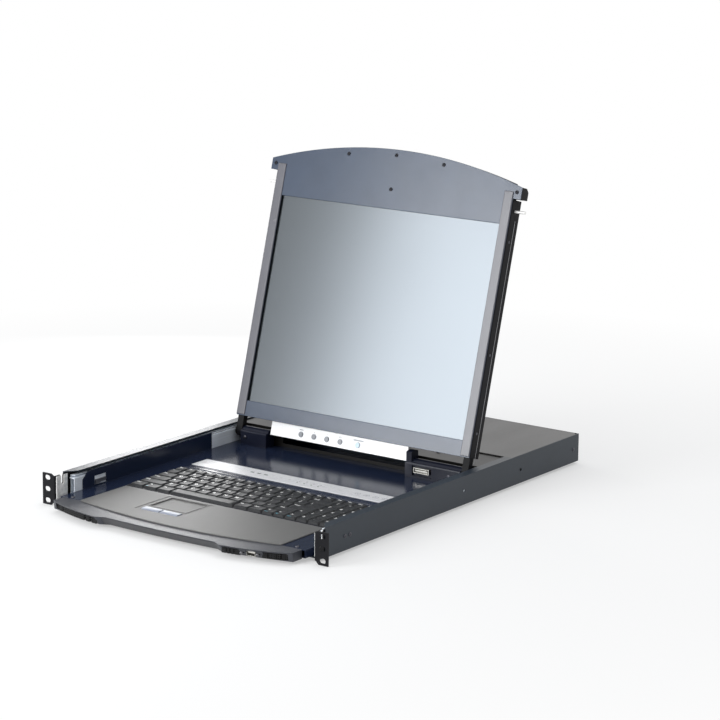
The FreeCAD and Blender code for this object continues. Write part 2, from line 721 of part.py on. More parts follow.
def reliefs(x0, x1, y0, y1, first, pitch, length, height):
    """Row of slot cutters along a slide member."""
    return [slot_yz(x0 - CUT, x1 + CUT, y, SLIDE_Z, length, height)
            for y in places_along(y0, y1, first, pitch)]


def slide_outers():
    """Outer slide members, screwed to the chassis walls."""
    member = channel(OUTER_WEB_IN, WALL_IN, OUTER_WEB_IN - OUTER_FLANGE, OUTER_Y0, OUTER_Y1, OUTER_HALF, OUTER_T)
    return pair(member.cut(reliefs(OUTER_WEB_IN, WALL_IN, OUTER_Y0, OUTER_Y1, *OUTER_RELIEFS)))


def slot_yz(x0, x1, y, z, length, height):
    """A slot cutter along Y, with pointed ends, through a plate that faces X."""
    a = length / 2
    b = height / 2
    c = a - b
    outline = [(y - a, z), (y - c, z - b), (y + c, z - b), (y + a, z), (y + c, z + b), (y - c, z + b)]
    return prism_x(outline, x0, x1)


def slide_mids():
    """Intermediate slide members, which travel half as far as the drawer."""
    member = channel(MID_WEB_IN, MID_OUT, MID_WEB_IN - MID_FLANGE, MID_Y0, MID_Y1, MID_HALF, MEMBER_T)
    return pair(member.cut(reliefs(MID_WEB_IN, MID_OUT, MID_Y0, MID_Y1, *MID_RELIEFS)))


def comb(x0, z0, pitch):
    """A ball-retainer strip with notches along its drawer-side edge, one pitch apart."""
    y0, y1 = CAGE_Y
    strip = box(x0, x0 + CAGE_W, y0, y1, z0, z0 + CAGE_T)
    notches = [box(x0 - CUT, x0 + CAGE_NOTCH, y, y + pitch / 2, z0 - CUT, z0 + CAGE_T + CUT)
               for y in places_along(y0, y1 - pitch * 3 / 4, pitch / 4, pitch)]
    return strip.cut(notches)


def ball_cages():
    """Ball retainers above and below the middle and inner members, on both slides."""
    inner_x = MID_WEB_IN - MID_FLANGE + FIT
    outer_x = OUTER_WEB_IN - OUTER_FLANGE + 1.0
    strips = []
    for half, x0, pitch in ((MID_HALF, outer_x, CAGE_COARSE), (INNER_HALF, inner_x, CAGE_PITCH)):
        strips.append(comb(x0, SLIDE_Z + half + FIT, pitch))
        strips.append(comb(x0, SLIDE_Z - half - FIT - CAGE_T, CAGE_COARSE))
    return group(strips + [mirrored(s) for s in strips])


def main_board():
    """Circuit board in the rear box on its standoffs, with two heatsinks."""
    y0 = REAR_BOX_Y + BOARD_FRONT
    y1 = PANEL_IN - BOARD_REAR
    top = BOARD_Z + BOARD_T
    middle = (BOARD_X0 + BOARD_X1) / 2
    board = box(BOARD_X0, BOARD_X1, y0, y1, BOARD_Z, top)
    half = POST_W / 2
    posts = [box(x - half, x + half, y - half, y + half, FLOOR_TOP, BOARD_Z)
             for x in (BOARD_X0 + POST_INSET, middle, BOARD_X1 - POST_INSET)
             for y in (y0 + POST_INSET, y1 - POST_INSET)]
    sink_y = y0 + SINK_Y
    sinks = [box(middle + x, middle + x + SINK_SIZE, sink_y, sink_y + SINK_SIZE, top, top + SINK_H)
             for x in SINK_X]
    return board.fuse(posts + sinks)


def power_supply():
    """Mains power supply in its own vented can beside the board."""
    y0 = REAR_BOX_Y + BOARD_FRONT
    top = FLOOR_TOP + SUPPLY_H
    can = box(SUPPLY_X0, SUPPLY_X1, y0, BODY_DEPTH - SUPPLY_REAR, FLOOR_TOP, top)
    first = SUPPLY_X0 + VENT_PITCH / 2
    vents = [box(x, x + VENT_W, y0 + BOARD_FRONT, y0 + BOARD_FRONT + VENT_LENGTH, top - VENT_DEPTH, top + CUT)
             for x in (first + i * VENT_PITCH for i in range(VENT_COUNT))]
    return can.cut(vents)


def chassis_screws():
    """Screw heads on the side walls and the back plate."""
    side = [screw(WALL_OUT, y, SIDE_SCREW_Z, "+x") for y in SIDE_SCREW_Y]
    back = [screw(x, BODY_DEPTH, BODY_Z1 - BACK_SCREW_DROP, "+y") for x in BACK_SCREW_X]
    return group(side + back + [mirrored(s) for s in side + back])


# ---------------------------------------------------------------- drawer

def tray_deck():
    """Drawer deck sheet with folded side walls, skirts and the openings for what drops in."""
    sheet = box(-TRAY_HALF, TRAY_HALF, DECK_Y0, REAR_DECK_Y0, DECK_UNDER, DECK_Z)
    y0, y1 = TRAY_WALL_Y
    top = TRAY_WALL_TOP
    wall = prism_x([(y0, DECK_Z), (y0, top - TRAY_WALL_BEVEL), (y0 + TRAY_WALL_BEVEL, top), (y1, top),
                    (y1, DECK_Z)], TRAY_IN, TRAY_HALF)
    skirt = box(TRAY_IN, TRAY_HALF, DECK_Y0, REAR_DECK_Y0, TRAY_FLOOR_TOP, DECK_UNDER)
    window = box(TRAY_IN - CUT, TRAY_HALF + CUT,
                 CATCH_Y0 - CATCH_CLEAR, CATCH_Y0 + CATCH_LENGTH + CATCH_CLEAR,
                 CATCH_Z - CATCH_H / 2 - CATCH_TAB_DROP - CATCH_CLEAR, CATCH_Z + CATCH_H / 2 + CATCH_SWING)
    side = wall.fuse(skirt).cut(window)
    deck = sheet.fuse([side, mirrored(side)]).removeSplitter()
    well = box(-WELL_HALF, WELL_HALF, WELL_Y0, WELL_Y1, DECK_UNDER - CUT, DECK_Z + CUT)
    boss = pad_boss(FIT, DECK_UNDER - CUT, DECK_Z + CUT)
    bead_y = WELL_Y1 + BEAD_GAP
    bead = box(-WELL_HALF, WELL_HALF, bead_y, bead_y + BEAD_W, DECK_Z - BEAD_DEPTH, DECK_Z + CUT)
    return deck.cut([well, boss, bead])


def pad_boss(grow, z0, z1):
    """Block round the pad's recess, grown all round by a clearance."""
    x0, x1, y0, y1 = PAD_FRAME
    reach = PALM_BOSS_WALL + grow
    return box(x0 - reach, x1 + reach, y0 - reach, y1 + reach, z0, z1)


def tray_bottom():
    """Underside pan of the drawer with two stiffening ribs and the rear cross wall."""
    floor = box(-TRAY_HALF, TRAY_HALF, DECK_Y0, TRAY_REAR, TRAY_Z0, TRAY_FLOOR_TOP)
    rib = box(RIB_X - RIB_T / 2, RIB_X + RIB_T / 2, RIB_Y0, REAR_DECK_Y0 - RIB_REAR_GAP,
              TRAY_FLOOR_TOP, TRAY_FLOOR_TOP + RIB_H)
    wall = box(-TRAY_IN, TRAY_IN, REAR_DECK_Y0, REAR_DECK_Y0 + SHEET, TRAY_FLOOR_TOP, DECK_Z)
    return floor.fuse([rib, mirrored(rib), wall]).removeSplitter()


def rear_deck():
    """Raised cover behind the hinge, with its front wall, cable window and side cheeks."""
    half = TRAY_HALF - REAR_DECK_INSET
    y0 = REAR_DECK_Y0
    top = box(-half, half, y0, TRAY_REAR, REAR_DECK_UNDER, REAR_DECK_Z)
    front = box(-half, half, y0, y0 + SHEET, DECK_Z, REAR_DECK_UNDER)
    cheek = box(half - SHEET, half, y0 + SHEET, TRAY_REAR, TRAY_FLOOR_TOP, REAR_DECK_UNDER)
    side, low, high = REAR_WINDOW
    window = box(OSD_X[0] + side, OSD_X[1] - side, y0 - CUT, y0 + SHEET + CUT, DECK_Z + low, REAR_DECK_Z - high)
    return top.fuse([front.cut(window), cheek, mirrored(cheek)]).removeSplitter()


def slide_inners():
    """Inner slide members, riveted to the drawer's sides."""
    member = channel(TRAY_HALF, INNER_WEB_OUT, INNER_WEB_OUT + INNER_FLANGE, INNER_Y0, INNER_Y1,
                     INNER_HALF, MEMBER_T)
    return pair(member.cut(reliefs(TRAY_HALF, INNER_WEB_OUT, INNER_Y0, TRAY_WALL_Y[1], *INNER_RELIEFS)))


def slide_catch(side):
    """Release lever of a slide, in the window of the drawer's side wall."""
    x1 = TRAY_HALF - FIT
    x0 = x1 - CATCH_T
    y1 = CATCH_Y0 + CATCH_LENGTH
    r = CATCH_H / 2
    z0 = CATCH_Z - r
    z1 = CATCH_Z + r
    arm = box(x0, x1, CATCH_Y0 + CATCH_TAB / 2, y1 - r, z0, z1)
    heel = rod_x(x0, x1, y1 - r, CATCH_Z, r)
    low = z0 - CATCH_TAB_DROP
    tab_y1 = CATCH_Y0 + CATCH_TAB
    tab = prism_x([(CATCH_Y0, low), (tab_y1, low), (tab_y1 + 3.0, z0), (tab_y1 - 4.0, z1), (CATCH_Y0, z1)],
                  x0, x1)
    return on_side(arm.fuse([heel, tab]).removeSplitter(), side)


def front_outline(z, inset, setback, corner_setback):
    """Closed plan outline of the drawer's front edge at one height."""
    def place(point, back):
        x, y = point
        return V(x - inset * 0.5 if x > 0 else x + inset * 0.5, y + back + inset, z)

    cx, cy = FRONT_CORNER
    mx, my = FRONT_MIDDLE
    tx, ty = FRONT_TIP
    gx, gy = GRIP_END
    half = [place((cx, cy), corner_setback), place((mx, my), setback), place((tx, ty), setback),
            place((gx, gy), setback)]
    left = [V(-p.x, p.y, p.z) for p in half]
    corner, middle, tip, grip = half
    l_corner, l_middle, l_tip, l_grip = left
    nose = V(0, GRIP_CENTRE_Y + setback + inset, z)
    back_right = V(corner.x, DECK_Y0, z)
    back_left = V(-corner.x, DECK_Y0, z)
    edges = [Part.LineSegment(back_right, corner), Part.Arc(corner, middle, tip), Part.LineSegment(tip, grip),
             Part.Arc(grip, nose, l_grip), Part.LineSegment(l_grip, l_tip), Part.Arc(l_tip, l_middle, l_corner),
             Part.LineSegment(l_corner, back_left), Part.LineSegment(back_left, back_right)]
    return Part.Wire([e.toShape() for e in edges])


def front_body(z0, z1, inset):
    """Solid between the lower and upper outlines of the front edge, cut to a height band."""
    lower = front_outline(FRONT_Z0, inset, FRONT_SETBACK, CORNER_SETBACK)
    upper = front_outline(DECK_Z, inset, 0.0, 0.0)
    body = Part.makeLoft([lower, upper], True, True)
    return body.common(box(-PANEL_W, PANEL_W, FRONT_REACH, DECK_Y0, z0, z1))


def grille_windows(grow):
    """Boxes that bound the perforated areas left and right of the grip."""
    low, high = GRILLE_Z
    port0 = USB_X - USB_PANEL_W / 2 + grow
    port1 = USB_X + USB_PANEL_W / 2 - grow
    spans = [(-GRILLE_X1 - grow, -GRILLE_X0 + grow), (GRILLE_X0 - grow, port0), (port1, GRILLE_X1 + grow)]
    return [box(x0, x1, FRONT_REACH, DECK_Y0 - FRONT_WALL, low - grow, high + grow) for x0, x1 in spans]


def front_bezel():
    """Moulded front edge: a hollow shell with windows for the grilles, the port and the grip."""
    shell = front_body(FRONT_Z0, DECK_Z, 0.0).cut(front_body(FRONT_Z0 - CUT, DECK_Z - FRONT_WALL, FRONT_WALL))
    shell = shell.fuse(front_body(FRONT_Z0, FRONT_FLOOR_TOP, 0.0))
    grip_gap = box(-GRIP_HALF - FIT, GRIP_HALF + FIT, FRONT_REACH, GRIP_REAR_Y, FRONT_Z0 - CUT,
                   DECK_Z - FRONT_SKIN)
    port = centred_box(USB_X, USB_Z, USB_W / 2 + USB_CLEAR, USB_H / 2 + USB_CLEAR, FRONT_REACH, GRIP_REAR_Y)
    lamps = [rod_y(USB_X + s * LAMP_X, FRONT_REACH, GRIP_REAR_Y, USB_Z, LAMP_R) for s in (-1, 1)]
    return shell.cut(grille_windows(0.0) + [grip_gap, port] + lamps).removeSplitter()


def grille_holes(x0, x1):
    """Cutters for staggered rows of square holes, set on their corners."""
    row_step = (GRILLE_Z[1] - GRILLE_Z[0]) / GRILLE_ROWS
    corner = GRILLE_HOLE / math.sqrt(2)
    holes = []
    for row in range(GRILLE_ROWS):
        z = GRILLE_Z[0] + (row + 0.5) * row_step
        shift = (row % 2) * GRILLE_PITCH / 2
        for x in places_along(x0, x1, shift, GRILLE_PITCH):
            outline = [(x - corner, z), (x, z - corner), (x + corner, z), (x, z + corner)]
            holes.append(prism_y(outline, FRONT_REACH, DECK_Y0))
    return holes


def front_grilles():
    """Curved perforated inserts behind the windows of the front edge."""
    inset = FRONT_WALL + GRILLE_FIT
    outer = front_body(FRONT_FLOOR_TOP + GRILLE_FIT, DECK_Z - inset, inset)
    skin = outer.cut(front_body(FRONT_Z0, DECK_Z, inset + GRILLE_T))
    margin = GRILLE_LAP + GRILLE_HOLE
    plates = []
    for window in grille_windows(GRILLE_LAP):
        bounds = window.BoundBox
        plates.append(skin.common(window).cut(grille_holes(bounds.XMin + margin, bounds.XMax - margin)))
    return group([solid for plate in plates for solid in plate.Solids])


def handle_grip():
    """Smooth finger grip in the middle of the front edge, hollowed from below."""
    top = DECK_Z - FRONT_SKIN - FIT
    rear = GRIP_REAR_Y - FIT
    inner = GRIP_HALF - GRIP_WALL
    body = front_body(FRONT_Z0, top, 0.0).common(box(-GRIP_HALF, GRIP_HALF, FRONT_REACH, rear, FRONT_Z0, top))
    hollow = front_body(FRONT_Z0 - CUT, top - GRIP_ROOF, GRIP_WALL)
    hollow = hollow.common(box(-inner, inner, FRONT_REACH, rear + CUT, FRONT_Z0 - CUT, top - GRIP_ROOF))
    return body.cut(hollow)


def usb_port():
    """Metal shell of the front data port with its contact tongue."""
    y1 = USB_Y0 + USB_DEPTH
    w = USB_W / 2
    h = USB_H / 2
    outer = centred_box(USB_X, USB_Z, w, h, USB_Y0, y1)
    mouth = centred_box(USB_X, USB_Z, w - USB_WALL, h - USB_WALL, USB_Y0 - CUT, y1 - 3 * CUT)
    tongue = centred_box(USB_X, USB_Z + h / 2 - USB_WALL / 2, USB_TONGUE_HALF, USB_TONGUE_T / 2,
                         USB_Y0 + CUT, y1 - 2 * CUT)
    return outer.cut(mouth).fuse(tongue).removeSplitter()


def palm_rest():
    """Palm rest plate with the arc front, the pad's recess and a boss through the deck."""
    half = PALM_W / 2
    y1 = min(PALM_Y1, WELL_Y0 - FIT)
    right = V(half, PALM_SIDE_Y, DECK_Z)
    left = V(-half, PALM_SIDE_Y, DECK_Z)
    rear_right = V(half, y1, DECK_Z)
    rear_left = V(-half, y1, DECK_Z)
    edges = [Part.LineSegment(rear_right, right), Part.Arc(right, V(0, PALM_FRONT_Y, DECK_Z), left),
             Part.LineSegment(left, rear_left), Part.LineSegment(rear_left, rear_right)]
    plate = Part.Face(Part.Wire([e.toShape() for e in edges])).extrude(V(0, 0, PALM_T))
    rim = [e for e in plate.Edges if all(abs(v.Z - PALM_TOP) < 1e-6 for v in e.Vertexes)]
    plate = plate.makeChamfer(PALM_CHAMFER, rim)
    above = PALM_TOP + CUT
    frame_cut = box(*PAD_FRAME, PALM_TOP - PAD_FRAME_DEPTH, above)
    pad_cut = box(*PAD, PAD_UNDER, above)
    button_cuts = [box(x0, x1, *PAD_BUTTON_Y, DECK_Z - PAD_BUTTON_DEPTH - PAD_BUTTON_TRAVEL, above)
                   for x0, x1 in pad_button_spans()]
    boss = pad_boss(0.0, DECK_Z - PALM_BOSS_DEPTH, DECK_Z)
    return plate.fuse(boss).cut([frame_cut, pad_cut] + button_cuts)


def pad_button_spans():
    """The wells of the left and right click buttons, across the pad."""
    half_gap = PAD_BUTTON_GAP / 2
    return [(PAD[0], PAD_MIDDLE - half_gap), (PAD_MIDDLE + half_gap, PAD[1])]


def touchpad():
    """Pointing pad lying low in its recess."""
    x0, x1, y0, y1 = PAD
    return box(x0 + FIT, x1 - FIT, y0 + FIT, y1 - FIT, PAD_UNDER, PAD_UNDER + PAD_T)


def touchpad_button(side):
    """Click button below the pad, crowned along its length."""
    x0, x1 = pad_button_spans()[0 if side < 0 else 1]
    y0 = PAD_BUTTON_Y[0] + FIT
    y1 = PAD_BUTTON_Y[1] - FIT
    low = DECK_Z - PAD_BUTTON_DEPTH
    top = PALM_TOP + PAD_BUTTON_RISE
    profile = [(y0, low), (y1, low), (y1, top - 0.5), (y1 - 1.5, top), (y0 + 4.0, top), (y0, top - 1.2)]
    return prism_x(profile, x0 + FIT, x1 - FIT)


def key(x0, x1, y0, y1):
    """One tapered key cap with its guide peg, its top face leaning towards the rear."""
    gap = KEY_GAP / 2
    base = corners(x0 + gap, x1 - gap, y0 + gap, y1 - gap, KEY_Z0)
    top = corners(x0 + KEY_INSET, x1 - KEY_INSET, y0 + KEY_INSET, y1 - KEY_INSET + KEY_LEAN, KEY_TOP_Z)
    peg = box((x0 + x1 - KEY_PEG) / 2, (x0 + x1 + KEY_PEG) / 2, (y0 + y1 - KEY_PEG) / 2,
              (y0 + y1 + KEY_PEG) / 2, KEY_PLATE_Z - CUT, KEY_Z0 + CUT / 2)
    return frustum(base, top).fuse(peg)


def corners(x0, x1, y0, y1, z):
    return [V(x0, y0, z), V(x1, y0, z), V(x1, y1, z), V(x0, y1, z)]


def frustum(base, top):
    """Four-sided solid with flat faces between two rectangles."""
    loops = [base[::-1], top]
    for i in range(4):
        j = (i + 1) % 4
        loops.append([base[i], base[j], top[j], top[i]])
    faces = [Part.Face(Part.makePolygon(loop + loop[:1])) for loop in loops]
    return Part.makeSolid(Part.makeShell(faces))


def key_cells(row):
    """Plan rectangles of the keys in one row, nearest row first; the last is the function row."""
    y0 = KEY_ROWS_Y0 + row * KEY_PITCH
    depth = FUNCTION_DEPTH if row == FUNCTION_ROW else KEY_PITCH
    cells = []
    x = -KEYBOARD_HALF
    for width in KEY_ROWS[row]:
        x1 = x + width * KEY_PITCH
        cells.append((x, x1, y0, y0 + depth))
        x = x1
    return cells


def key_row(row):
    return group([key(*cell) for cell in key_cells(row)])


def keyboard_plate():
    """Keyboard carrier: floor with a guide slot along each row, and a rim inside the deck's opening."""
    half = WELL_HALF - KEY_PAN_CLEAR
    y0 = WELL_Y0 + KEY_PAN_CLEAR
    y1 = WELL_Y1 - KEY_PAN_CLEAR
    z0 = KEY_PLATE_Z - KEY_PLATE_T
    wall = KEY_PAN_WALL
    pan = box(-half, half, y0, y1, z0, DECK_Z + FIT)
    inner = box(wall - half, half - wall, y0 + wall, y1 - wall, KEY_PLATE_Z, DECK_Z + CUT)
    reach = KEY_PEG / 2 + KEY_PEG_CLEAR
    slots = []
    for row in range(len(KEY_ROWS)):
        cells = key_cells(row)
        x0 = (cells[0][0] + cells[0][1]) / 2 - reach
        x1 = (cells[-1][0] + cells[-1][1]) / 2 + reach
        y = (cells[0][2] + cells[0][3]) / 2
        slots.append(box(x0, x1, y - reach, y + reach, z0 - CUT, KEY_PLATE_Z + CUT))
    return pan.cut([inner] + slots)


def port_strip():
    """Bright indicator strip across the deck behind the keyboard."""
    strip = box(-STRIP_W / 2, STRIP_W / 2, *STRIP_Y, DECK_Z, DECK_Z + STRIP_T)
    edges = [e for e in strip.Edges if abs(e.CenterOfMass.z - DECK_Z - STRIP_T) < 1e-6]
    return strip.makeChamfer(STRIP_CHAMFER, edges)


def pod_block(x0, x1):
    """Hinge housing on the deck: sloped shield, top flange and the barrel round the shaft."""
    back, drop = POD_CHAMFER
    shield = prism_x([(POD_FRONT_Y, DECK_Z), (POD_FRONT_Y, POD_TOP_Z - drop), (POD_FRONT_Y + back, POD_TOP_Z),
                      (HINGE_Y - POD_BACK_CHAMFER, POD_TOP_Z), (HINGE_Y, POD_TOP_Z - drop), (HINGE_Y, DECK_Z)],
                     x0, x1)
    foot = box(x0, x1, HINGE_Y, HINGE_Y + KNUCKLE_R, DECK_Z, HINGE_Z)
    return shield.fuse([foot, rod_x(x0, x1, HINGE_Y, HINGE_Z, KNUCKLE_R)])


def shaft_bore(x0, x1):
    return rod_x(x0, x1, HINGE_Y, HINGE_Z, SHAFT_R + SHAFT_CLEAR)


def hinge_pod_left():
    x0, x1 = POD_LEFT
    return pod_block(x0, x1).cut(shaft_bore(x0 - CUT, x1 - SHAFT_LEFT_END + BORE_EXTRA))


def pod_port_box(grow, y0, y1):
    """Space of the service connector inside the right housing's window."""
    side, low, high = POD_PORT_MARGIN
    x0 = POD_RIGHT[0] + POD_WINDOW_X[0] + side
    x1 = POD_RIGHT[0] + POD_WINDOW_X[1] - side
    return box(x0 - grow, x1 + grow, y0, y1, POD_WINDOW_Z[0] + low - grow, POD_WINDOW_Z[1] - high + grow)


def hinge_pod_right():
    """Right housing, with the window for its port and the upright cheek beside the control strip."""
    x0, x1 = POD_RIGHT
    tower = rod_x(x0, x0 + TOWER_W, HINGE_Y, HINGE_Z, TOWER_R)
    tower = tower.common(box(x0, x0 + TOWER_W, POD_FRONT_Y + TOWER_SETBACK, HINGE_Y + KNUCKLE_R, HINGE_Z,
                             HINGE_Z + TOWER_R))
    window = box(x0 + POD_WINDOW_X[0], x0 + POD_WINDOW_X[1], POD_FRONT_Y - CUT,
                 POD_FRONT_Y + POD_WINDOW_DEPTH, *POD_WINDOW_Z)
    seat = pod_port_box(0.0, POD_FRONT_Y, POD_FRONT_Y + POD_PORT_DEPTH)
    bore = shaft_bore(x1 - SHAFT_RIGHT_LENGTH - BORE_EXTRA, x1 + CUT)
    return pod_block(x0, x1).fuse(tower).cut([window, seat, bore])


def pod_port():
    """Metal service connector standing in the window of the right housing."""
    y1 = POD_FRONT_Y + POD_PORT_DEPTH - POD_PORT_CLEAR
    shell = pod_port_box(-POD_PORT_CLEAR, POD_FRONT_Y - 1.5, y1)
    mouth = pod_port_box(-POD_PORT_CLEAR - POD_PORT_WALL, POD_FRONT_Y - 2.0, y1 - 2.3)
    tongue = pod_port_box(-POD_PORT_CLEAR - POD_PORT_TONGUE, POD_FRONT_Y - 0.8, y1 - 1.8)
    return shell.cut(mouth).fuse(tongue)


def hinge_shafts():
    """Friction hinge shafts, held in the housings and running in the screen's arms."""
    right = rod_x(POD_RIGHT[1] - SHAFT_RIGHT_LENGTH, ARM_X1, HINGE_Y, HINGE_Z, SHAFT_R)
    left = rod_x(-ARM_X1, POD_LEFT[1] - SHAFT_LEFT_END, HINGE_Y, HINGE_Z, SHAFT_R)
    return group([left, right])


def tray_screws():
    """Screw heads on the deck's front corners, the hinge housings and the rear deck."""
    heads = [screw(x, POD_FRONT_Y, POD_SCREW_Z, "-y") for x in POD_SCREW_X]
    for side in (-1, 1):
        heads.append(screw(side * DECK_SCREW[0], DECK_SCREW[1], DECK_Z, "+z"))
        heads.append(screw(side * COVER_SCREW[0], COVER_SCREW[1], REAR_DECK_Z, "+z"))
    return group(heads)


# ---------------------------------------------------------------- screen (upright, hinge axis at origin)

def arch_outline(half, low, shoulder, top):
    """Plan of the arched upper plate: straight sides under a single arc."""
    points = [V(-half, 0, low), V(half, 0, low), V(half, 0, shoulder)]
    edges = [Part.LineSegment(points[0], points[1]), Part.LineSegment(points[1], points[2]),
             Part.Arc(points[2], V(0, 0, top), V(-half, 0, shoulder)),
             Part.LineSegment(V(-half, 0, shoulder), points[0])]
    return Part.Face(Part.Wire([e.toShape() for e in edges]))


def arch_block(half, low, shoulder, top, y0, y1):
    face = arch_outline(half, low, shoulder, top)
    face.translate(V(0, y0, 0))
    return face.extrude(V(0, y1 - y0, 0))


def lcd_front_frame():
    """Front sheet: bottom bezel, hidden side strips and the arched top with its two shoulders."""
    low = box(-EDGE_STRIP_X1, EDGE_STRIP_X1, LCD_FRONT, BEZEL_BACK, BEZEL_H0, ARCH_SHOULDER[0] + CUT)
    arch = arch_block(ARCH_HALF_W, ARCH_SHOULDER[0], ARCH_SHOULDER[1], ARCH_TOP, LCD_FRONT, BEZEL_BACK)
    opening = box(-OPENING_HALF, OPENING_HALF, LCD_FRONT - CUT, BEZEL_BACK + CUT, *OPENING_H)
    return raised(low.fuse(arch).removeSplitter().cut(opening))


def shell_rise(x):
    """Height of the arch above the hinge axis at one x."""
    rise = ARCH_TOP - ARCH_SHOULDER[1]
    radius = (ARCH_HALF_W ** 2 + rise ** 2) / (2 * rise)
    return ARCH_TOP - radius + math.sqrt(radius ** 2 - x ** 2)


def lcd_back_shell():
    """Rear shell: sides, back and arched head, open to the front and under the hinge frame."""
    t = LCD_SKIN
    inner = LCD_HALF_W - t
    shoulder = ARCH_SHOULDER[0] - CUT
    head_half = LCD_HALF_W - RELEASE_TRAVEL - CUT
    head_rise = shell_rise(head_half)
    body = box(-LCD_HALF_W, LCD_HALF_W, BEZEL_BACK, LCD_BACK, BEZEL_H0, shoulder)
    head = arch_block(head_half, shoulder - 5.0, head_rise - LCD_HEAD_STEP, ARCH_TOP - LCD_HEAD_STEP,
                      BEZEL_BACK, LCD_BACK)
    outer = body.fuse(head).removeSplitter()
    rear_edges = [e for e in outer.Edges if all(abs(v.Y - LCD_BACK) < 1e-6 for v in e.Vertexes)
                  and e.CenterOfMass.z > shoulder + CUT]
    outer = outer.makeChamfer(LCD_HEAD_CHAMFER, rear_edges)
    cavity = box(-inner, inner, BEZEL_BACK - CUT, LCD_BACK - t, BEZEL_H0 + t, shoulder - t)
    head_cavity = arch_block(head_half - t, shoulder - 6.0, head_rise - LCD_HEAD_SKIN, ARCH_TOP - LCD_HEAD_SKIN,
                             BEZEL_BACK - CUT, LCD_BACK - LCD_HEAD_SKIN)
    mouth = box(-inner, inner, BEZEL_BACK - CUT, ARM_DEPTH[1] + CUT + FIT, BEZEL_H0 - CUT, BEZEL_H0 + t + CUT)
    pin = rod_x(inner - CUT, LCD_HALF_W + CUT, PIN_DEPTH, PIN_H, PIN_R + PIN_CLEAR)
    reach = RELEASE_ARM_W / 2 + CUT
    notch = box(RELEASE_ARM_X - RELEASE_TRAVEL - CUT, inner, PIN_DEPTH - reach, PIN_DEPTH + reach,
                shoulder - t - CUT, RELEASE_H0 + RELEASE_LINK_H + CUT)
    return raised(outer.cut([cavity, head_cavity, mouth, pin, mirrored(pin), notch, mirrored(notch)]))


def lcd_side_strips():
    """Raised extrusions down both sides of the screen."""
    y0 = LCD_FRONT - EDGE_STRIP_RISE
    strip = box(EDGE_STRIP_X0, EDGE_STRIP_X1, y0, LCD_FRONT, *EDGE_STRIP_H)
    edges = [e for e in strip.Edges if all(abs(v.Y - y0) < 1e-6 for v in e.Vertexes)]
    return raised(pair(strip.makeChamfer(EDGE_STRIP_CHAMFER, edges)))


def lcd_screen():
    """Screen glass, set back behind the bezel."""
    side, rise = SCREEN_LAP
    half = OPENING_HALF + side
    return raised(box(-half, half, SCREEN_Y0, SCREEN_Y0 + SCREEN_T, OPENING_H[0] - rise, OPENING_H[1] + rise))


def lcd_module():
    """Display module behind the glass, with the brackets that tie it to the shell."""
    y0 = SCREEN_Y0 + SCREEN_T
    side, rise = MODULE_MARGIN
    half = OPENING_HALF - side
    block = box(-half, half, y0, y0 + MODULE_T, OPENING_H[0] + rise, OPENING_H[1] - rise)
    reach = MODULE_BRACKET_W / 2
    brackets = [box(-half, half, y0 + MODULE_T, LCD_BACK - LCD_SKIN, h - reach, h + reach)
                for h in MODULE_BRACKET_H]
    return raised(block.fuse(brackets).removeSplitter())


def hinge_frame():
    """Steel frame: an arm and knuckle at each side, and the beam behind the control strip."""
    y0, y1 = ARM_DEPTH
    arm = box(ARM_X0, BEAM_HALF, y0, y1, 0.0, ARM_H)
    knuckle = rod_x(ARM_X0, ARM_X1, 0.0, 0.0, KNUCKLE_R)
    bore = rod_x(ARM_X0 - CUT, ARM_X1 + CUT, 0.0, 0.0, SHAFT_R + SHAFT_CLEAR)
    arm = arm.fuse(knuckle).cut(bore)
    cross_y0 = OSD_FACE - BEAM_T
    cross = box(-BEAM_HALF, BEAM_HALF, cross_y0, OSD_FACE, BEZEL_H0 + BEAM_MARGIN, BEAM_TOP)
    beam_x0 = OSD_X[0] + BEAM_MARGIN
    beam_x1 = OSD_X[1] - BEAM_MARGIN
    beam_y0 = OSD_FACE + OSD_T
    beam = box(beam_x0, beam_x1, beam_y0, beam_y0 + BEAM_T, OSD_H[0] + BEAM_MARGIN, BEAM_TOP)
    lip = box(beam_x0, beam_x1, OSD_FACE, beam_y0 + BEAM_T, BEAM_TOP - BEAM_T, BEAM_TOP)
    return raised(arm.fuse([mirrored(arm), cross, beam, lip]).removeSplitter())


def button_hole(x):
    return rod_y(x, OSD_FACE - CUT, OSD_FACE + OSD_BUTTON_LENGTH, OSD_BUTTON_H,
                 OSD_BUTTON_R + OSD_BUTTON_CLEAR)


def osd_panel():
    """White control strip under the screen, with blind wells for its buttons."""
    plate = box(OSD_X[0], OSD_X[1], OSD_FACE, OSD_FACE + OSD_T, OSD_H[0], OSD_H[1])
    wells = [button_hole(x) for x in OSD_BUTTON_X + (POWER_BUTTON_X,)]
    return raised(plate.cut(wells))


def osd_button(x):
    """Round button standing a little out of the control strip."""
    y0 = OSD_FACE - OSD_BUTTON_RISE
    return raised(rod_y(x, y0, y0 + OSD_BUTTON_LENGTH, OSD_BUTTON_H, OSD_BUTTON_R))


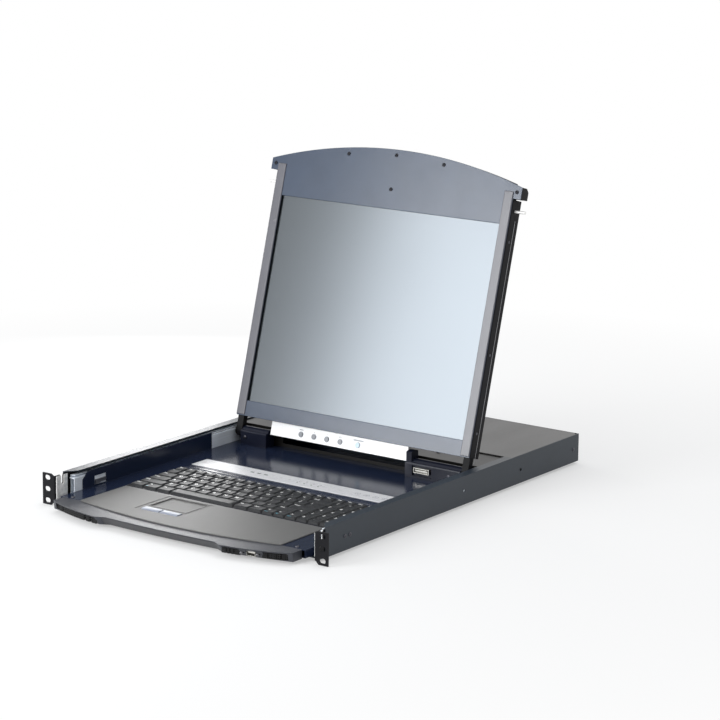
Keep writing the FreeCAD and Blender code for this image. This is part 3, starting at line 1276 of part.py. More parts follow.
def release_catch(side):
    """Black end cap of the arch that slides inwards, with the arm that carries the latch pin."""
    x0 = LCD_HALF_W + FIT
    y0 = BEZEL_BACK + FIT
    y1 = y0 + RELEASE_DEPTH
    h0 = RELEASE_H0
    h1 = ARCH_SHOULDER[1]
    cap = prism_x([(y0, h0), (y1, h0), (y1, h1 - RELEASE_BEVEL), (y1 - RELEASE_BEVEL, h1), (y0, h1)],
                  x0, ARCH_HALF_W)
    arm_y0 = PIN_DEPTH - RELEASE_ARM_W / 2
    arm_y1 = PIN_DEPTH + RELEASE_ARM_W / 2
    link = box(RELEASE_ARM_X, x0, arm_y0, arm_y1, h0, h0 + RELEASE_LINK_H)
    arm = box(RELEASE_ARM_X, RELEASE_ARM_X + RELEASE_ARM_T, arm_y0, arm_y1, PIN_H - RELEASE_ARM_TAIL, h0)
    return on_side(raised(cap.fuse([link, arm]).removeSplitter()), side)


def latch_pin(side):
    """Bright latch pin standing out of the screen's side."""
    pin = rod_x(RELEASE_ARM_X + RELEASE_ARM_T, PIN_TIP, PIN_DEPTH, PIN_H, PIN_R)
    tip = [e for e in pin.Edges if len(e.Vertexes) == 1 and abs(e.Vertexes[0].X - PIN_TIP) < 1e-6]
    return on_side(raised(pin.makeChamfer(PIN_CHAMFER, tip)), side)


def lcd_screws():
    """Small screw heads on the arched plate."""
    return raised(group([screw(x, LCD_FRONT, h, "-y") for x, h in LCD_SCREWS]))


# ---------------------------------------------------------------- output

def save(name, shape):
    """Move a shape into the part's frame and write it."""
    placed = shape.copy()
    placed.translate(V(0, 0, -PANEL_H / 2))
    placed.exportStep(os.path.join("parts", name + ".step"))


SINGLE_PARTS = (
    base_pan, rear_cover, rear_panel, rear_ports, power_inlet, power_rocker, rack_ears, latch_plates, slide_outers,
    slide_mids, ball_cages, main_board, power_supply, chassis_screws, tray_deck, tray_bottom, rear_deck,
    slide_inners, front_bezel, front_grilles, handle_grip, usb_port, palm_rest, touchpad, keyboard_plate,
    port_strip, hinge_pod_left, hinge_pod_right, pod_port, hinge_shafts, tray_screws, lcd_front_frame,
    lcd_back_shell, lcd_side_strips, lcd_screen, lcd_module, hinge_frame, osd_panel, lcd_screws,
)
SIDED_PARTS = (side_rail, slide_catch, touchpad_button, release_catch, latch_pin)


def main():
    os.makedirs("parts", exist_ok=True)
    for make in SINGLE_PARTS:
        save(make.__name__, make())
    for make in SIDED_PARTS:
        save(make.__name__ + "_left", make(-1))
        save(make.__name__ + "_right", make(1))
    for row in range(len(KEY_ROWS)):
        save("key_row_%d" % (row + 1), key_row(row))
    for number, x in enumerate(OSD_BUTTON_X, 1):
        save("osd_button_%d" % number, osd_button(x))
    save("power_button", osd_button(POWER_BUTTON_X))


main()
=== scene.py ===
import json
import math

import bmesh
import bpy
from mathutils import Matrix, Vector
from mathutils.bvhtree import BVHTree


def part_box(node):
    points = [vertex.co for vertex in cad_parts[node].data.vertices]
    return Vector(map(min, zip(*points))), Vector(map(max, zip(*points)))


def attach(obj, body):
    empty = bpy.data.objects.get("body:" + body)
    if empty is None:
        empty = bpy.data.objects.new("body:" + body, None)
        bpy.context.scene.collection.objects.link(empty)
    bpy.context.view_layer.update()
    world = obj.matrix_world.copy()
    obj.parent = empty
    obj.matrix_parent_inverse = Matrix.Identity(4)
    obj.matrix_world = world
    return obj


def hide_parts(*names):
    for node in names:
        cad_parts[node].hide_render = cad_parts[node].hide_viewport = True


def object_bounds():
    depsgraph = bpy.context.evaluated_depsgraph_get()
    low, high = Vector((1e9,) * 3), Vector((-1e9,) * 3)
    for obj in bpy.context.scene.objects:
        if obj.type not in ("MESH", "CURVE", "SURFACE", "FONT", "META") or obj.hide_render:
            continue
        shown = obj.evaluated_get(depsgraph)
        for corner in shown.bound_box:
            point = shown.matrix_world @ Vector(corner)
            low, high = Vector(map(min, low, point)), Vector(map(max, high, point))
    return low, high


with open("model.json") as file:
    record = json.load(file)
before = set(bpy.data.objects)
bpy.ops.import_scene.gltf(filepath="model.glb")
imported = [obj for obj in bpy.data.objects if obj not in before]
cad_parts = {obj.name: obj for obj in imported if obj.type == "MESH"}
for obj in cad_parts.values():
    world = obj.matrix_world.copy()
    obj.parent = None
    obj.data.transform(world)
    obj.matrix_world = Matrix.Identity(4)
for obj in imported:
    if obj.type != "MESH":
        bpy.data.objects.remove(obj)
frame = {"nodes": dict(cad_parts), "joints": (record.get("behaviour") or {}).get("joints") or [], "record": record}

# A rack drawer with a folding LCD screen, a keyboard and a touchpad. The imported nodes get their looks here,
# and keys, screws, grilles, sockets, marks and louvres are added as pieces that ride on the same bodies.

CAD_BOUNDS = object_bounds()
MM = 0.001
COLLECTION = bpy.context.scene.collection

# The screen leans back from upright about its hinge line.
HINGE = Vector(next(j for j in frame["joints"] if j["name"] == "screen_tilt")["pos_m"])
LEAN = math.radians(15.63)

# Frames in millimetres. In each the third axis points out of the surface that is worked on.
ROW = Matrix.Scale(MM, 4)
SCREEN = Matrix.Translation(HINGE) @ Matrix.Rotation(-LEAN, 4, "X") @ Matrix.Scale(MM, 4)
UP = Matrix.Identity(4)
FRONT = Matrix(((1, 0, 0, 0), (0, 0, -1, 0), (0, 1, 0, 0), (0, 0, 0, 1)))
REAR = Matrix(((-1, 0, 0, 0), (0, 0, 1, 0), (0, 1, 0, 0), (0, 0, 0, 1)))
RIGHT = Matrix(((0, 0, 1, 0), (1, 0, 0, 0), (0, 1, 0, 0), (0, 0, 0, 1)))
LEFT = Matrix(((0, 0, -1, 0), (-1, 0, 0, 0), (0, 1, 0, 0), (0, 0, 0, 1)))


# ---------------------------------------------------------------- camera

AZIMUTH, ELEVATION, ROLL = (math.radians(a) for a in (35.977, 12.861, 0.476))
CAMERA_TARGET = Vector((0.1072, 0.25, 0.18175))
CAMERA_DISTANCE = 3.7607
LENS = 140.19
SENSOR = 36.0


def camera():
    """Camera at the photograph's viewpoint."""
    back = Vector((math.sin(AZIMUTH) * math.cos(ELEVATION), -math.cos(AZIMUTH) * math.cos(ELEVATION),
                   math.sin(ELEVATION)))
    right = (-back).cross(Vector((0, 0, 1))).normalized()
    up = right.cross(-back)
    side = right * math.cos(ROLL) + up * math.sin(ROLL)
    top = up * math.cos(ROLL) - right * math.sin(ROLL)
    place = CAMERA_TARGET + back * CAMERA_DISTANCE
    data = bpy.data.cameras.new("camera")
    data.lens = LENS
    data.sensor_width = SENSOR
    eye = bpy.data.objects.new("camera", data)
    COLLECTION.objects.link(eye)
    eye.matrix_world = Matrix(((side.x, top.x, back.x, place.x), (side.y, top.y, back.y, place.y),
                               (side.z, top.z, back.z, place.z), (0, 0, 0, 1)))
    bpy.context.scene.camera = eye


camera()


# ---------------------------------------------------------------- materials

MATERIALS = {}


class Shader:
    """A named material whose node tree is built up one node at a time."""

    def __init__(self, name):
        self.material = MATERIALS[name] = bpy.data.materials.new(name)
        self.material.use_nodes = True
        self.tree = self.material.node_tree
        self.nodes = self.tree.nodes
        self.links = self.tree.links
        self.bsdf = self.nodes["Principled BSDF"]
        self.place = self.nodes.new("ShaderNodeTexCoord").outputs["Object"]

    def set(self, **values):
        """Give the shader's sockets plain values, by name with _ for a space."""
        for name, value in values.items():
            self.bsdf.inputs[name.replace("_", " ")].default_value = value

    def link(self, output, socket):
        """Drive one of the shader's own sockets."""
        self.links.new(output, self.bsdf.inputs[socket])

    def mapped(self, scale):
        """Object coordinates in metres, scaled along each axis."""
        mapping = self.nodes.new("ShaderNodeMapping")
        mapping.inputs["Scale"].default_value = scale
        self.links.new(self.place, mapping.inputs["Vector"])
        return mapping.outputs["Vector"]

    def noise(self, scale, detail=3.0, roughness=0.5, stretch=None):
        """Soft noise with about that many bumps to the metre, drawn out where a stretch is under 1."""
        node = self.nodes.new("ShaderNodeTexNoise")
        node.inputs["Scale"].default_value = scale
        node.inputs["Detail"].default_value = detail
        node.inputs["Roughness"].default_value = roughness
        self.links.new(self.place if stretch is None else self.mapped(stretch), node.inputs["Vector"])
        return node.outputs["Fac"]

    def cells(self, scale):
        """Distance to the nearest of scattered points, about that many to the metre each way."""
        node = self.nodes.new("ShaderNodeTexVoronoi")
        node.feature = "F1"
        node.inputs["Scale"].default_value = scale
        self.links.new(self.place, node.inputs["Vector"])
        return node.outputs["Distance"]

    def remap(self, source, low_in, high_in, low_out, high_out):
        """Straight line through two values in and the two that they come out as, held at its ends."""
        node = self.nodes.new("ShaderNodeMapRange")
        ends = {"From Min": low_in, "From Max": high_in, "To Min": low_out, "To Max": high_out}
        for socket, value in ends.items():
            node.inputs[socket].default_value = value
        self.links.new(source, node.inputs["Value"])
        return node.outputs["Result"]

    def spread(self, noise, low=0.0, high=1.0):
        """A noise, whose values lie mostly between 0.3 and 0.7, stretched to run from low to high."""
        return self.remap(noise, 0.3, 0.7, low, high)

    def math(self, operation, a, b):
        """One step of arithmetic on two sockets or numbers."""
        node = self.nodes.new("ShaderNodeMath")
        node.operation = operation
        for socket, value in zip(node.inputs, (a, b)):
            if isinstance(value, (int, float)):
                socket.default_value = value
            else:
                self.links.new(value, socket)
        return node.outputs["Value"]

    def mix(self, factor, a, b):
        """Colour a going over to colour b as the factor rises."""
        node = self.nodes.new("ShaderNodeMix")
        node.data_type = "RGBA"
        sockets = [node.inputs["Factor"]] + [s for s in node.inputs if s.type == "RGBA"]
        for socket, value in zip(sockets, (factor, a, b)):
            if isinstance(value, tuple):
                socket.default_value = (*value, 1.0)
            elif isinstance(value, (int, float)):
                socket.default_value = value
            else:
                self.links.new(value, socket)
        return next(o for o in node.outputs if o.type == "RGBA")

    def bump(self, height, strength, distance):
        """Relief as deep as the distance, in metres, where the height runs from 0 to 1."""
        node = self.nodes.new("ShaderNodeBump")
        node.inputs["Strength"].default_value = strength
        node.inputs["Distance"].default_value = distance
        self.links.new(height, node.inputs["Height"])
        self.link(node.outputs["Normal"], "Normal")


def tint(colour, factor):
    """A colour made lighter or darker."""
    return tuple(min(1.0, c * factor) for c in colour)


def paint(name, colour, rough, gloss=0.5):
    """Powder coat on sheet steel: fine pebble, a cloud of gloss, faint wipe marks and pale dust specks."""
    s = Shader(name)
    s.set(Metallic=0.0, IOR=1.5, Specular_IOR_Level=gloss)
    cloud = s.spread(s.noise(24.0, 3.0))
    base = s.mix(cloud, tint(colour, 0.94), tint(colour, 1.06))
    specks = s.remap(s.cells(1500.0), 0.0, 0.16, 1.0, 0.0)
    dusty = s.remap(s.noise(70.0), 0.55, 0.7, 0.0, 0.35)
    s.link(s.mix(s.math("MULTIPLY", specks, dusty), base, tint(colour, 1.9)), "Base Color")
    wipe = s.noise(30.0, 4.0, 0.6, (1.0, 0.3, 1.0))
    s.link(s.spread(wipe, rough * 0.93, rough * 1.07), "Roughness")
    s.bump(s.noise(1400.0, 2.0), 0.10, 0.0002)


def steel(name, colour, rough, along=(1.0, 0.03, 1.0), spangle=False, metallic=1.0):
    """Plated sheet steel with drawing lines, or the spangle of a zinc coat."""
    s = Shader(name)
    s.set(Metallic=metallic)
    grain = s.noise(900.0, 3.0, 0.6, along)
    patches = s.cells(170.0) if spangle else s.noise(30.0, 4.0)
    tone = s.math("ADD", s.math("MULTIPLY", grain, 0.5), s.math("MULTIPLY", patches, 0.5))
    s.link(s.mix(s.spread(tone), tint(colour, 0.82), tint(colour, 1.08)), "Base Color")
    s.link(s.spread(tone, rough * 0.85, rough * 1.2), "Roughness")
    s.bump(grain, 0.12, 0.0002)


def plastic(name, colour, rough, texture=1100.0, depth=0.2, coat=0.0, gloss=0.5):
    """Moulded plastic with a spark-eroded texture and a slight cloud in its colour."""
    s = Shader(name)
    s.set(IOR=1.48, Coat_Weight=coat, Coat_Roughness=0.08, Specular_IOR_Level=gloss)
    cloud = s.spread(s.noise(40.0, 3.0))
    grain = s.noise(texture, 2.0, 0.6)
    fleck = s.mix(s.remap(grain, 0.35, 0.65, 0.0, 1.0), tint(colour, 0.92), tint(colour, 1.08))
    s.link(s.mix(s.math("MULTIPLY", cloud, 0.35), fleck, tint(colour, 1.1)), "Base Color")
    s.link(s.spread(grain, rough * 0.88, rough * 1.12), "Roughness")
    s.bump(grain, depth, 0.00012)


def silvered(name, colour, rough):
    """Silver paint: fine metal flake under a clear coat, with faint horizontal brushing."""
    s = Shader(name)
    s.set(Metallic=0.12, IOR=1.5)
    flake = s.cells(3800.0)
    lines = s.noise(1500.0, 2.0, 0.6, (0.04, 1.0, 1.0))
    tone = s.math("ADD", s.math("MULTIPLY", flake, 0.5), s.math("MULTIPLY", lines, 0.5))
    s.link(s.mix(s.remap(tone, 0.25, 0.65, 0.0, 1.0), tint(colour, 0.96), tint(colour, 1.03)), "Base Color")
    s.link(s.spread(lines, rough * 0.85, rough * 1.15), "Roughness")
    s.bump(tone, 0.06, 0.0001)


def screen_film(name, colour, rough):
    """Unlit panel behind an anti-glare film: smoky grey, with a broad sheen and a fine sparkle."""
    s = Shader(name)
    s.set(IOR=1.7, Specular_IOR_Level=0.85, Specular_Tint=(0.84, 0.92, 1.0, 1.0))
    sparkle = s.noise(2600.0, 1.0)
    s.link(s.mix(sparkle, colour, tint(colour, 1.12)), "Base Color")
    haze = s.noise(6.0, 2.0)
    s.link(s.spread(haze, rough * 0.97, rough * 1.03), "Roughness")
    s.bump(sparkle, 0.03, 0.00003)


# One for each slot of the record: the sheet metal first, then the drawer's mouldings, then the screen.
paint("chassis_paint", (0.021, 0.029, 0.040), 0.36, gloss=0.36)
paint("cover_paint", (0.022, 0.020, 0.019), 0.30, gloss=0.42)
paint("ear_paint", (0.007, 0.007, 0.009), 0.42, gloss=0.14)
paint("tray_paint", (0.012, 0.018, 0.040), 0.17, gloss=0.28)
# Rear deck paint is darker than the cover's: partly the deck's own dark coat, partly painted shade for the deep
# shadow under the menu panel.
paint("deck_rear_paint", (0.008, 0.0073, 0.0067), 0.30, gloss=0.16)
steel("zinc_plate", (0.90, 0.895, 0.88), 0.52, spangle=True, metallic=0.5)
steel("slide_steel", (0.82, 0.87, 0.93), 0.50, metallic=0.35)
steel("cage_steel", (0.80, 0.80, 0.80), 0.38, metallic=0.7)
steel("screw_steel", (0.10, 0.10, 0.115), 0.36)
steel("supply_steel", (0.55, 0.55, 0.55), 0.42, spangle=True)
plastic("circuit_board", (0.015, 0.11, 0.05), 0.35)
plastic("port_plastic", (0.02, 0.05, 0.19), 0.4)
plastic("inlet_plastic", (0.012, 0.012, 0.013), 0.45)
plastic("rocker_plastic", (0.012, 0.012, 0.013), 0.3)

plastic("edge_plastic", (0.034, 0.037, 0.047), 0.40)
plastic("grille_plastic", (0.007, 0.007, 0.008), 0.45, gloss=0.3)
plastic("grip_plastic", (0.055, 0.056, 0.060), 0.50)
steel("usb_steel", (0.52, 0.51, 0.48), 0.38)
plastic("palm_paint", (0.122, 0.121, 0.118), 0.46, texture=1500.0, depth=0.10, gloss=0.25)
plastic("pad_plastic", (0.135, 0.134, 0.131), 0.48, texture=2200.0, depth=0.08, gloss=0.25)
plastic("pad_button_plastic", (0.25, 0.28, 0.36), 0.32, depth=0.05)
plastic("keyboard_plastic", (0.006, 0.006, 0.008), 0.45)
plastic("key_plastic", (0.020, 0.021, 0.023), 0.42, texture=1600.0, depth=0.15, gloss=0.25)
silvered("strip_silver", (0.74, 0.74, 0.755), 0.30)
paint("pod_paint", (0.006, 0.008, 0.019), 0.33, gloss=0.24)
steel("shaft_steel", (0.5, 0.5, 0.5), 0.25, along=(0.03, 1.0, 1.0))

paint("lcd_paint", (0.036, 0.056, 0.096), 0.22, gloss=0.55)
paint("shell_paint", (0.0085, 0.0085, 0.010), 0.46, gloss=0.09)
paint("strip_paint", (0.112, 0.112, 0.130), 0.26, gloss=0.55)
screen_film("screen_face", (0.014, 0.017, 0.018), 0.20)
steel("module_steel", (0.6, 0.6, 0.6), 0.4, spangle=True)
paint("hinge_steel", (0.005, 0.005, 0.006), 0.45, gloss=0.12)
plastic("osd_plastic", (0.96, 0.96, 0.965), 0.18, depth=0.02, gloss=0.9)
plastic("osd_button_plastic", (0.22, 0.23, 0.25), 0.3, depth=0.05, coat=0.3)
plastic("power_button_plastic", (0.55, 0.70, 0.80), 0.28, depth=0.05, coat=0.3)
plastic("catch_plastic", (0.006, 0.006, 0.007), 0.45, gloss=0.15)
steel("catch_steel", (0.42, 0.42, 0.44), 0.30)

# Looks of small details, whose slots are those of the pieces that they sit on.
plastic("legend_white", (0.90, 0.90, 0.88), 0.40, depth=0.03)
plastic("legend_blue", (0.10, 0.42, 0.55), 0.45, depth=0.03)
plastic("mark_grey", (0.20, 0.20, 0.23), 0.4, depth=0.03)
plastic("ring_grey", (0.50, 0.52, 0.55), 0.35)
# Dark colour of the touchpad's raised edge: painted shade for the shadow in the recess round the pad.
plastic("pad_edge_painted_shade", (0.035, 0.035, 0.037), 0.4)
plastic("lamp_lens", (0.30, 0.36, 0.30), 0.15, depth=0.02, coat=0.6)
plastic("socket_black", (0.004, 0.004, 0.004), 0.6, depth=0.05)
steel("screw_black", (0.03, 0.03, 0.035), 0.4)
steel("bright_screw", (0.16, 0.16, 0.17), 0.3)
steel("seam_steel", (0.42, 0.42, 0.44), 0.35)
steel("port_nickel", (0.72, 0.72, 0.70), 0.28)
steel("nut_nickel", (0.70, 0.70, 0.68), 0.3)


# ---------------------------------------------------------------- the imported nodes

# Bevel, in mm, put on the hard edges of the nodes whose own meshes show.
EASED = {
    "lcd_front_frame": 0.5, "lcd_side_strips": 0.4, "lcd_back_shell": 0.5, "osd_panel": 0.3,
    "release_catch_left": 0.5, "release_catch_right": 0.5,
    "tray_deck": 0.3, "palm_rest": 0.3, "port_strip": 0.15, "handle_grip": 0.4, "front_bezel": 0.3,
    "touchpad": 0.15, "touchpad_button_left": 0.5, "touchpad_button_right": 0.5, "usb_port": 0.15,
    "hinge_pod_left": 0.4, "hinge_pod_right": 0.4, "pod_port": 0.2, "slide_inners": 0.15,
    "rear_cover": 0.3, "rear_deck": 0.3, "rear_panel": 0.3, "power_inlet": 0.3, "latch_plates": 0.2,
}
BEVEL_ANGLE = math.radians(40.0)
SMOOTH_ANGLE = math.radians(34.0)
WELD_DISTANCE = 1e-6


def smooth_by_angle():
    """Node group that shades a mesh smooth except at its sharp edges."""
    group = bpy.data.node_groups.new("smooth_by_angle", "GeometryNodeTree")
    group.interface.new_socket("Geometry", in_out="INPUT", socket_type="NodeSocketGeometry")
    group.interface.new_socket("Geometry", in_out="OUTPUT", socket_type="NodeSocketGeometry")
    start, end = group.nodes.new("NodeGroupInput"), group.nodes.new("NodeGroupOutput")
    faces = group.nodes.new("GeometryNodeSetShadeSmooth")
    faces.domain = "FACE"
    edges = group.nodes.new("GeometryNodeSetShadeSmooth")
    edges.domain = "EDGE"
    edges.inputs["Shade Smooth"].default_value = False
    angle = group.nodes.new("GeometryNodeInputMeshEdgeAngle")
    sharp = group.nodes.new("FunctionNodeCompare")
    sharp.data_type = "FLOAT"
    sharp.operation = "GREATER_THAN"
    sharp.inputs[1].default_value = SMOOTH_ANGLE
    for source, target in ((start.outputs[0], faces.inputs["Geometry"]),
                           (faces.outputs["Geometry"], edges.inputs["Geometry"]),
                           (angle.outputs["Unsigned Angle"], sharp.inputs[0]),
                           (sharp.outputs["Result"], edges.inputs["Selection"]),
                           (edges.outputs["Geometry"], end.inputs[0])):
        group.links.new(source, target)
    return group


def finish_cad_nodes():
    """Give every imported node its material, and eased edges and smooth curves where they show."""
    smoothing = smooth_by_angle()
    for part in frame["record"]["subparts"]:
        name = part["node"]
        node = frame["nodes"][name]
        node.data.materials.clear()
        node.data.materials.append(MATERIALS[part["material_slot"]])
        weld = node.modifiers.new("weld", "WELD")
        weld.merge_threshold = WELD_DISTANCE
        if name in EASED:
            bevel = node.modifiers.new("ease", "BEVEL")
            bevel.width = EASED[name] * MM
            bevel.segments = 2
            bevel.limit_method = "ANGLE"
            bevel.angle_limit = BEVEL_ANGLE
            bevel.use_clamp_overlap = True
        shade = node.modifiers.new("shade", "NODES")
        shade.node_group = smoothing
        if name in EASED:
            even = node.modifiers.new("even", "WEIGHTED_NORMAL")
            even.weight = 100
            even.keep_sharp = True


finish_cad_nodes()


# ---------------------------------------------------------------- mesh building

def solids(node):
    """Lowest and highest corner, in mm, of each separate solid of a node, from the front, left to right."""
    mesh = frame["nodes"][node].data
    seen, group = {}, list(range(len(mesh.vertices)))

    def root(i):
        while group[i] != i:
            group[i] = group[group[i]]
            i = group[i]
        return i

    for vertex in mesh.vertices:
        key = tuple(round(c * 1e6) for c in vertex.co)
        group[root(vertex.index)] = root(seen.setdefault(key, vertex.index))
    for edge in mesh.edges:
        a, b = (root(i) for i in edge.vertices)
        group[a] = b
    boxes = {}
    for vertex in mesh.vertices:
        boxes.setdefault(root(vertex.index), []).append(vertex.co / MM)
    found = [(Vector(map(min, zip(*points))), Vector(map(max, zip(*points)))) for points in boxes.values()]
    return sorted(found, key=lambda box: (round(box[0].y), round(box[0].x, 1), round(box[0].z, 1)))


def extent(node):
    """Lowest and highest corner, in mm, of a whole node."""
    low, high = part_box(node)
    return low / MM, high / MM


def middle_x(node):
    """Where a node's middle lies across the object, in mm."""
    low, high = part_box(node)
    return (low.x + high.x) / 2 / MM


CORNER_STEPS = 3


def rounded(x0, y0, x1, y1, radius):
    """Outline of a rectangle with round corners, anticlockwise."""
    corners = ((x1 - radius, y1 - radius, 0), (x0 + radius, y1 - radius, 90),
               (x0 + radius, y0 + radius, 180), (x1 - radius, y0 + radius, 270))
    outline = []
    for x, y, start in corners:
        for i in range(CORNER_STEPS + 1):
            a = math.radians(start + 90.0 * i / CORNER_STEPS)
            outline.append((x + radius * math.cos(a), y + radius * math.sin(a)))
    return outline


def inset(sides, by, radius):
    """Outline of a rectangle, given as its four sides, drawn in on every side."""
    x0, y0, x1, y1 = sides
    return rounded(x0 + by, y0 + by, x1 - by, y1 - by, radius)


def around(x, y, half_x, half_y):
    """Left, lower, right and upper side of a rectangle about its middle."""
    return x - half_x, y - half_y, x + half_x, y + half_y


def circle(x, y, radius, count=20):
    """Outline of a circle."""
    return [(x + radius * math.cos(2 * math.pi * i / count), y + radius * math.sin(2 * math.pi * i / count))
            for i in range(count)]


def facing(direction, at=(0.0, 0.0, 0.0), base=ROW):
    """Frame at a place in another frame, with its z pointing the given way."""
    return base @ Matrix.Translation(at) @ direction


PIECE_SMOOTH_ANGLE = math.radians(35.0)


SCREW_SIDES = 16
CROSS_REACH, CROSS_WIDTH = 0.52, 0.13     # of a recess, from its middle, as shares of the head's radius
DOME_ANGLES = (0.0, 0.4, 0.8, 1.15)       # of the rings up a button's round shoulder


class Piece:
    """A mesh put together in mm, in whichever frame is current, then linked as a piece on a body."""

    def __init__(self, base=ROW):
        self.bm = bmesh.new()
        self.frame = base

    def loft(self, rings, start=True, end=True):
        """Skin a stack of outlines, each (outline, height), and close its ends."""
        rows = [[self.bm.verts.new(self.frame @ Vector((x, y, z))) for x, y in outline]
                for outline, z in rings]
        for a, b in zip(rows, rows[1:]):
            for i in range(len(a)):
                j = (i + 1) % len(a)
                self.bm.faces.new((a[i], a[j], b[j], b[i]))
        if start:
            self.bm.faces.new(rows[0][::-1])
        if end:
            self.bm.faces.new(rows[-1])

    def tube(self, rings):
        """Skin a ring of outlines that comes back to its first."""
        self.loft(rings + rings[:1], False, False)

    def plate(self, x0, y0, x1, y1, radius, z0, z1, ease=0.2):
        """Flat plate with round corners and an eased upper edge."""
        sides, inner = (x0, y0, x1, y1), max(radius - ease, 0.05)
        self.loft([(inset(sides, 0.0, radius), z0), (inset(sides, 0.0, radius), z1 - ease),
                   (inset(sides, 0.3 * ease, inner), z1 - 0.3 * ease), (inset(sides, ease, inner), z1)])

    def rim(self, x0, y0, x1, y1, radius, width, z0, z1, ease=0.1):
        """Raised rim round the inside of a rectangle."""
        sides = (x0, y0, x1, y1)
        outer, inner = inset(sides, 0.0, radius), inset(sides, width, max(radius - width, 0.1))
        self.tube([(outer, z0), (outer, z1 - ease), (inset(sides, ease, radius), z1),
                   (inner, z1), (inner, z0)])

    def dome(self, x, y, radius, z0, height, count=20):
        """Low round button with a flat middle."""
        rings = [(circle(x, y, radius, count), z0)]
        rings += [(circle(x, y, radius * math.cos(a), count), z0 + height * (0.25 + 0.75 * math.sin(a)))
                  for a in DOME_ANGLES]
        self.loft(rings)

    def screw(self, x, y, radius, height, turn):
        """Pan head with a cross recess, standing on z = 0."""
        angles = [turn + 2 * math.pi * i / SCREW_SIDES for i in range(SCREW_SIDES)]

        def ring(r, z):
            return [(x + r * math.cos(a), y + r * math.sin(a)) for a in angles], z

        long, wide = radius * CROSS_REACH, radius * CROSS_WIDTH
        quarter = ((long, 0.0), (long, wide), (wide, wide), (wide, long))
        cross = []
        for k in range(4):
            c, s = math.cos(turn + math.pi / 2 * k), math.sin(turn + math.pi / 2 * k)
            cross += [(x + c * a - s * b, y + s * a + c * b) for a, b in quarter]
        self.loft([ring(radius, 0.0), ring(radius, height * 0.4), ring(radius * 0.9, height * 0.75),
                   ring(radius * 0.66, height), (cross, height), (cross, height * 0.45)])

    def text(self, string, x, y, size, top):
        """Raised lettering whose lower left corner is at x, y; top gives the surface height there."""
        points, faces = glyphs(string)
        verts = []
        for px, py, pz in points:
            vx, vy = x + px * size, y + py * size
            verts.append(self.bm.verts.new(self.frame @ Vector((vx, vy, top(vx, vy) + pz))))
        for face in faces:
            self.bm.faces.new([verts[i] for i in face])

    def finish(self, name, body, slot, look=None, replaces=()):
        """Link what was built as a piece that rides on a body. Its look is its slot's if none is named."""
        bm = self.bm
        bmesh.ops.recalc_face_normals(bm, faces=bm.faces)
        for face in bm.faces:
            face.smooth = True
        for edge in bm.edges:
            edge.smooth = len(edge.link_faces) == 2 and edge.calc_face_angle(0.0) < PIECE_SMOOTH_ANGLE
        mesh = bpy.data.meshes.new(name)
        bm.to_mesh(mesh)
        bm.free()
        mesh.materials.append(MATERIALS[look or slot])
        piece = bpy.data.objects.new(name, mesh)
        COLLECTION.objects.link(piece)
        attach(piece, body)
        if replaces:
            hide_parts(*replaces)
        return piece


GLYPHS = {}
INK_HEIGHT = 0.08     # share of the letters' size
INK_WEIGHT = 0.018    # added all round each stroke, also a share


def glyphs(string):
    """Points and faces of a string one unit high, as a thin closed plate."""
    if string not in GLYPHS:
        curve = bpy.data.curves.new("legend", "FONT")
        curve.body = string
        curve.size = 1.0
        curve.resolution_u = 2
        curve.extrude = INK_HEIGHT / 2
        curve.offset = INK_WEIGHT
        legend = bpy.data.objects.new("legend", curve)
        COLLECTION.objects.link(legend)
        mesh = bpy.data.meshes.new_from_object(legend)
        GLYPHS[string] = ([tuple(v.co) for v in mesh.vertices], [tuple(p.vertices) for p in mesh.polygons])
        bpy.data.objects.remove(legend)
        bpy.data.curves.remove(curve)
        bpy.data.meshes.remove(mesh)
    return GLYPHS[string]


# ---------------------------------------------------------------- keyboard

# Words on the caps, a row at a time from the front one back, each from left to right.
LEGENDS = (
    ("Ctrl", "Fn", "Alt", "", "Alt", "Ctrl", "<", "v", ">", "0", ".", "Ent"),
    ("Shift", *"ZXCVBNM,./", "Shift", "^", "1", "2", "3"),
    ("Caps", *"ASDFGHJKL;'", "Enter", "4", "5", "6"),
    ("Tab", *"QWERTYUIOP[]", "\\", "7", "8", "9"),
    (*"`1234567890-=", "Back", "/", "*", "-"),
    ("Esc", *(f"F{i}" for i in range(1, 13)), "Prt", "Brk", "Ins", "Del", "Hm", "End", "Num"),
)
# Second words, by row and by place in the row. The front row's are blue and sit lower left.
FRONT_ROW, NUMBER_ROW, FUNCTION_ROW = 0, 4, 5
SECOND_LEGENDS = {
    FRONT_ROW: {1: "Fn", 6: "Hm", 7: "Pg", 8: "End"},
    NUMBER_ROW: dict(zip(range(1, 13), "!@#$%^&*()_+")),
}
LETTER, WORD, SECOND = 6.6, 4.2, 4.0     # sizes of single letters, of words and of second words
LEGEND_DROP = 0.74                       # from a word's top line down to its foot, as a share of its size
BLUE_SHIFT, WHITE_SHIFT = 0.3, 7.2       # of second words, to the right of the first word's left edge

CAP_DRAFT = 1.9       # how far a cap's sides lean in from its foot to its top
CAP_VISIBLE = 3.6     # height of the leaning sides
CAP_HEIGHT = 4.6      # skirt to top; below it only the guide peg goes on down
CAP_PEG = 5.0
CAP_DISH = 0.45       # depth of the hollow in a cap's top
CAP_EDGE = 0.15       # width of the flat edge round the hollow
CAP_SUNK = 0.1        # how far a cap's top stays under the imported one's
DISH_SHARES = (0.86, 0.62, 0.3)     # outlines of the hollow, as shares of the top's own


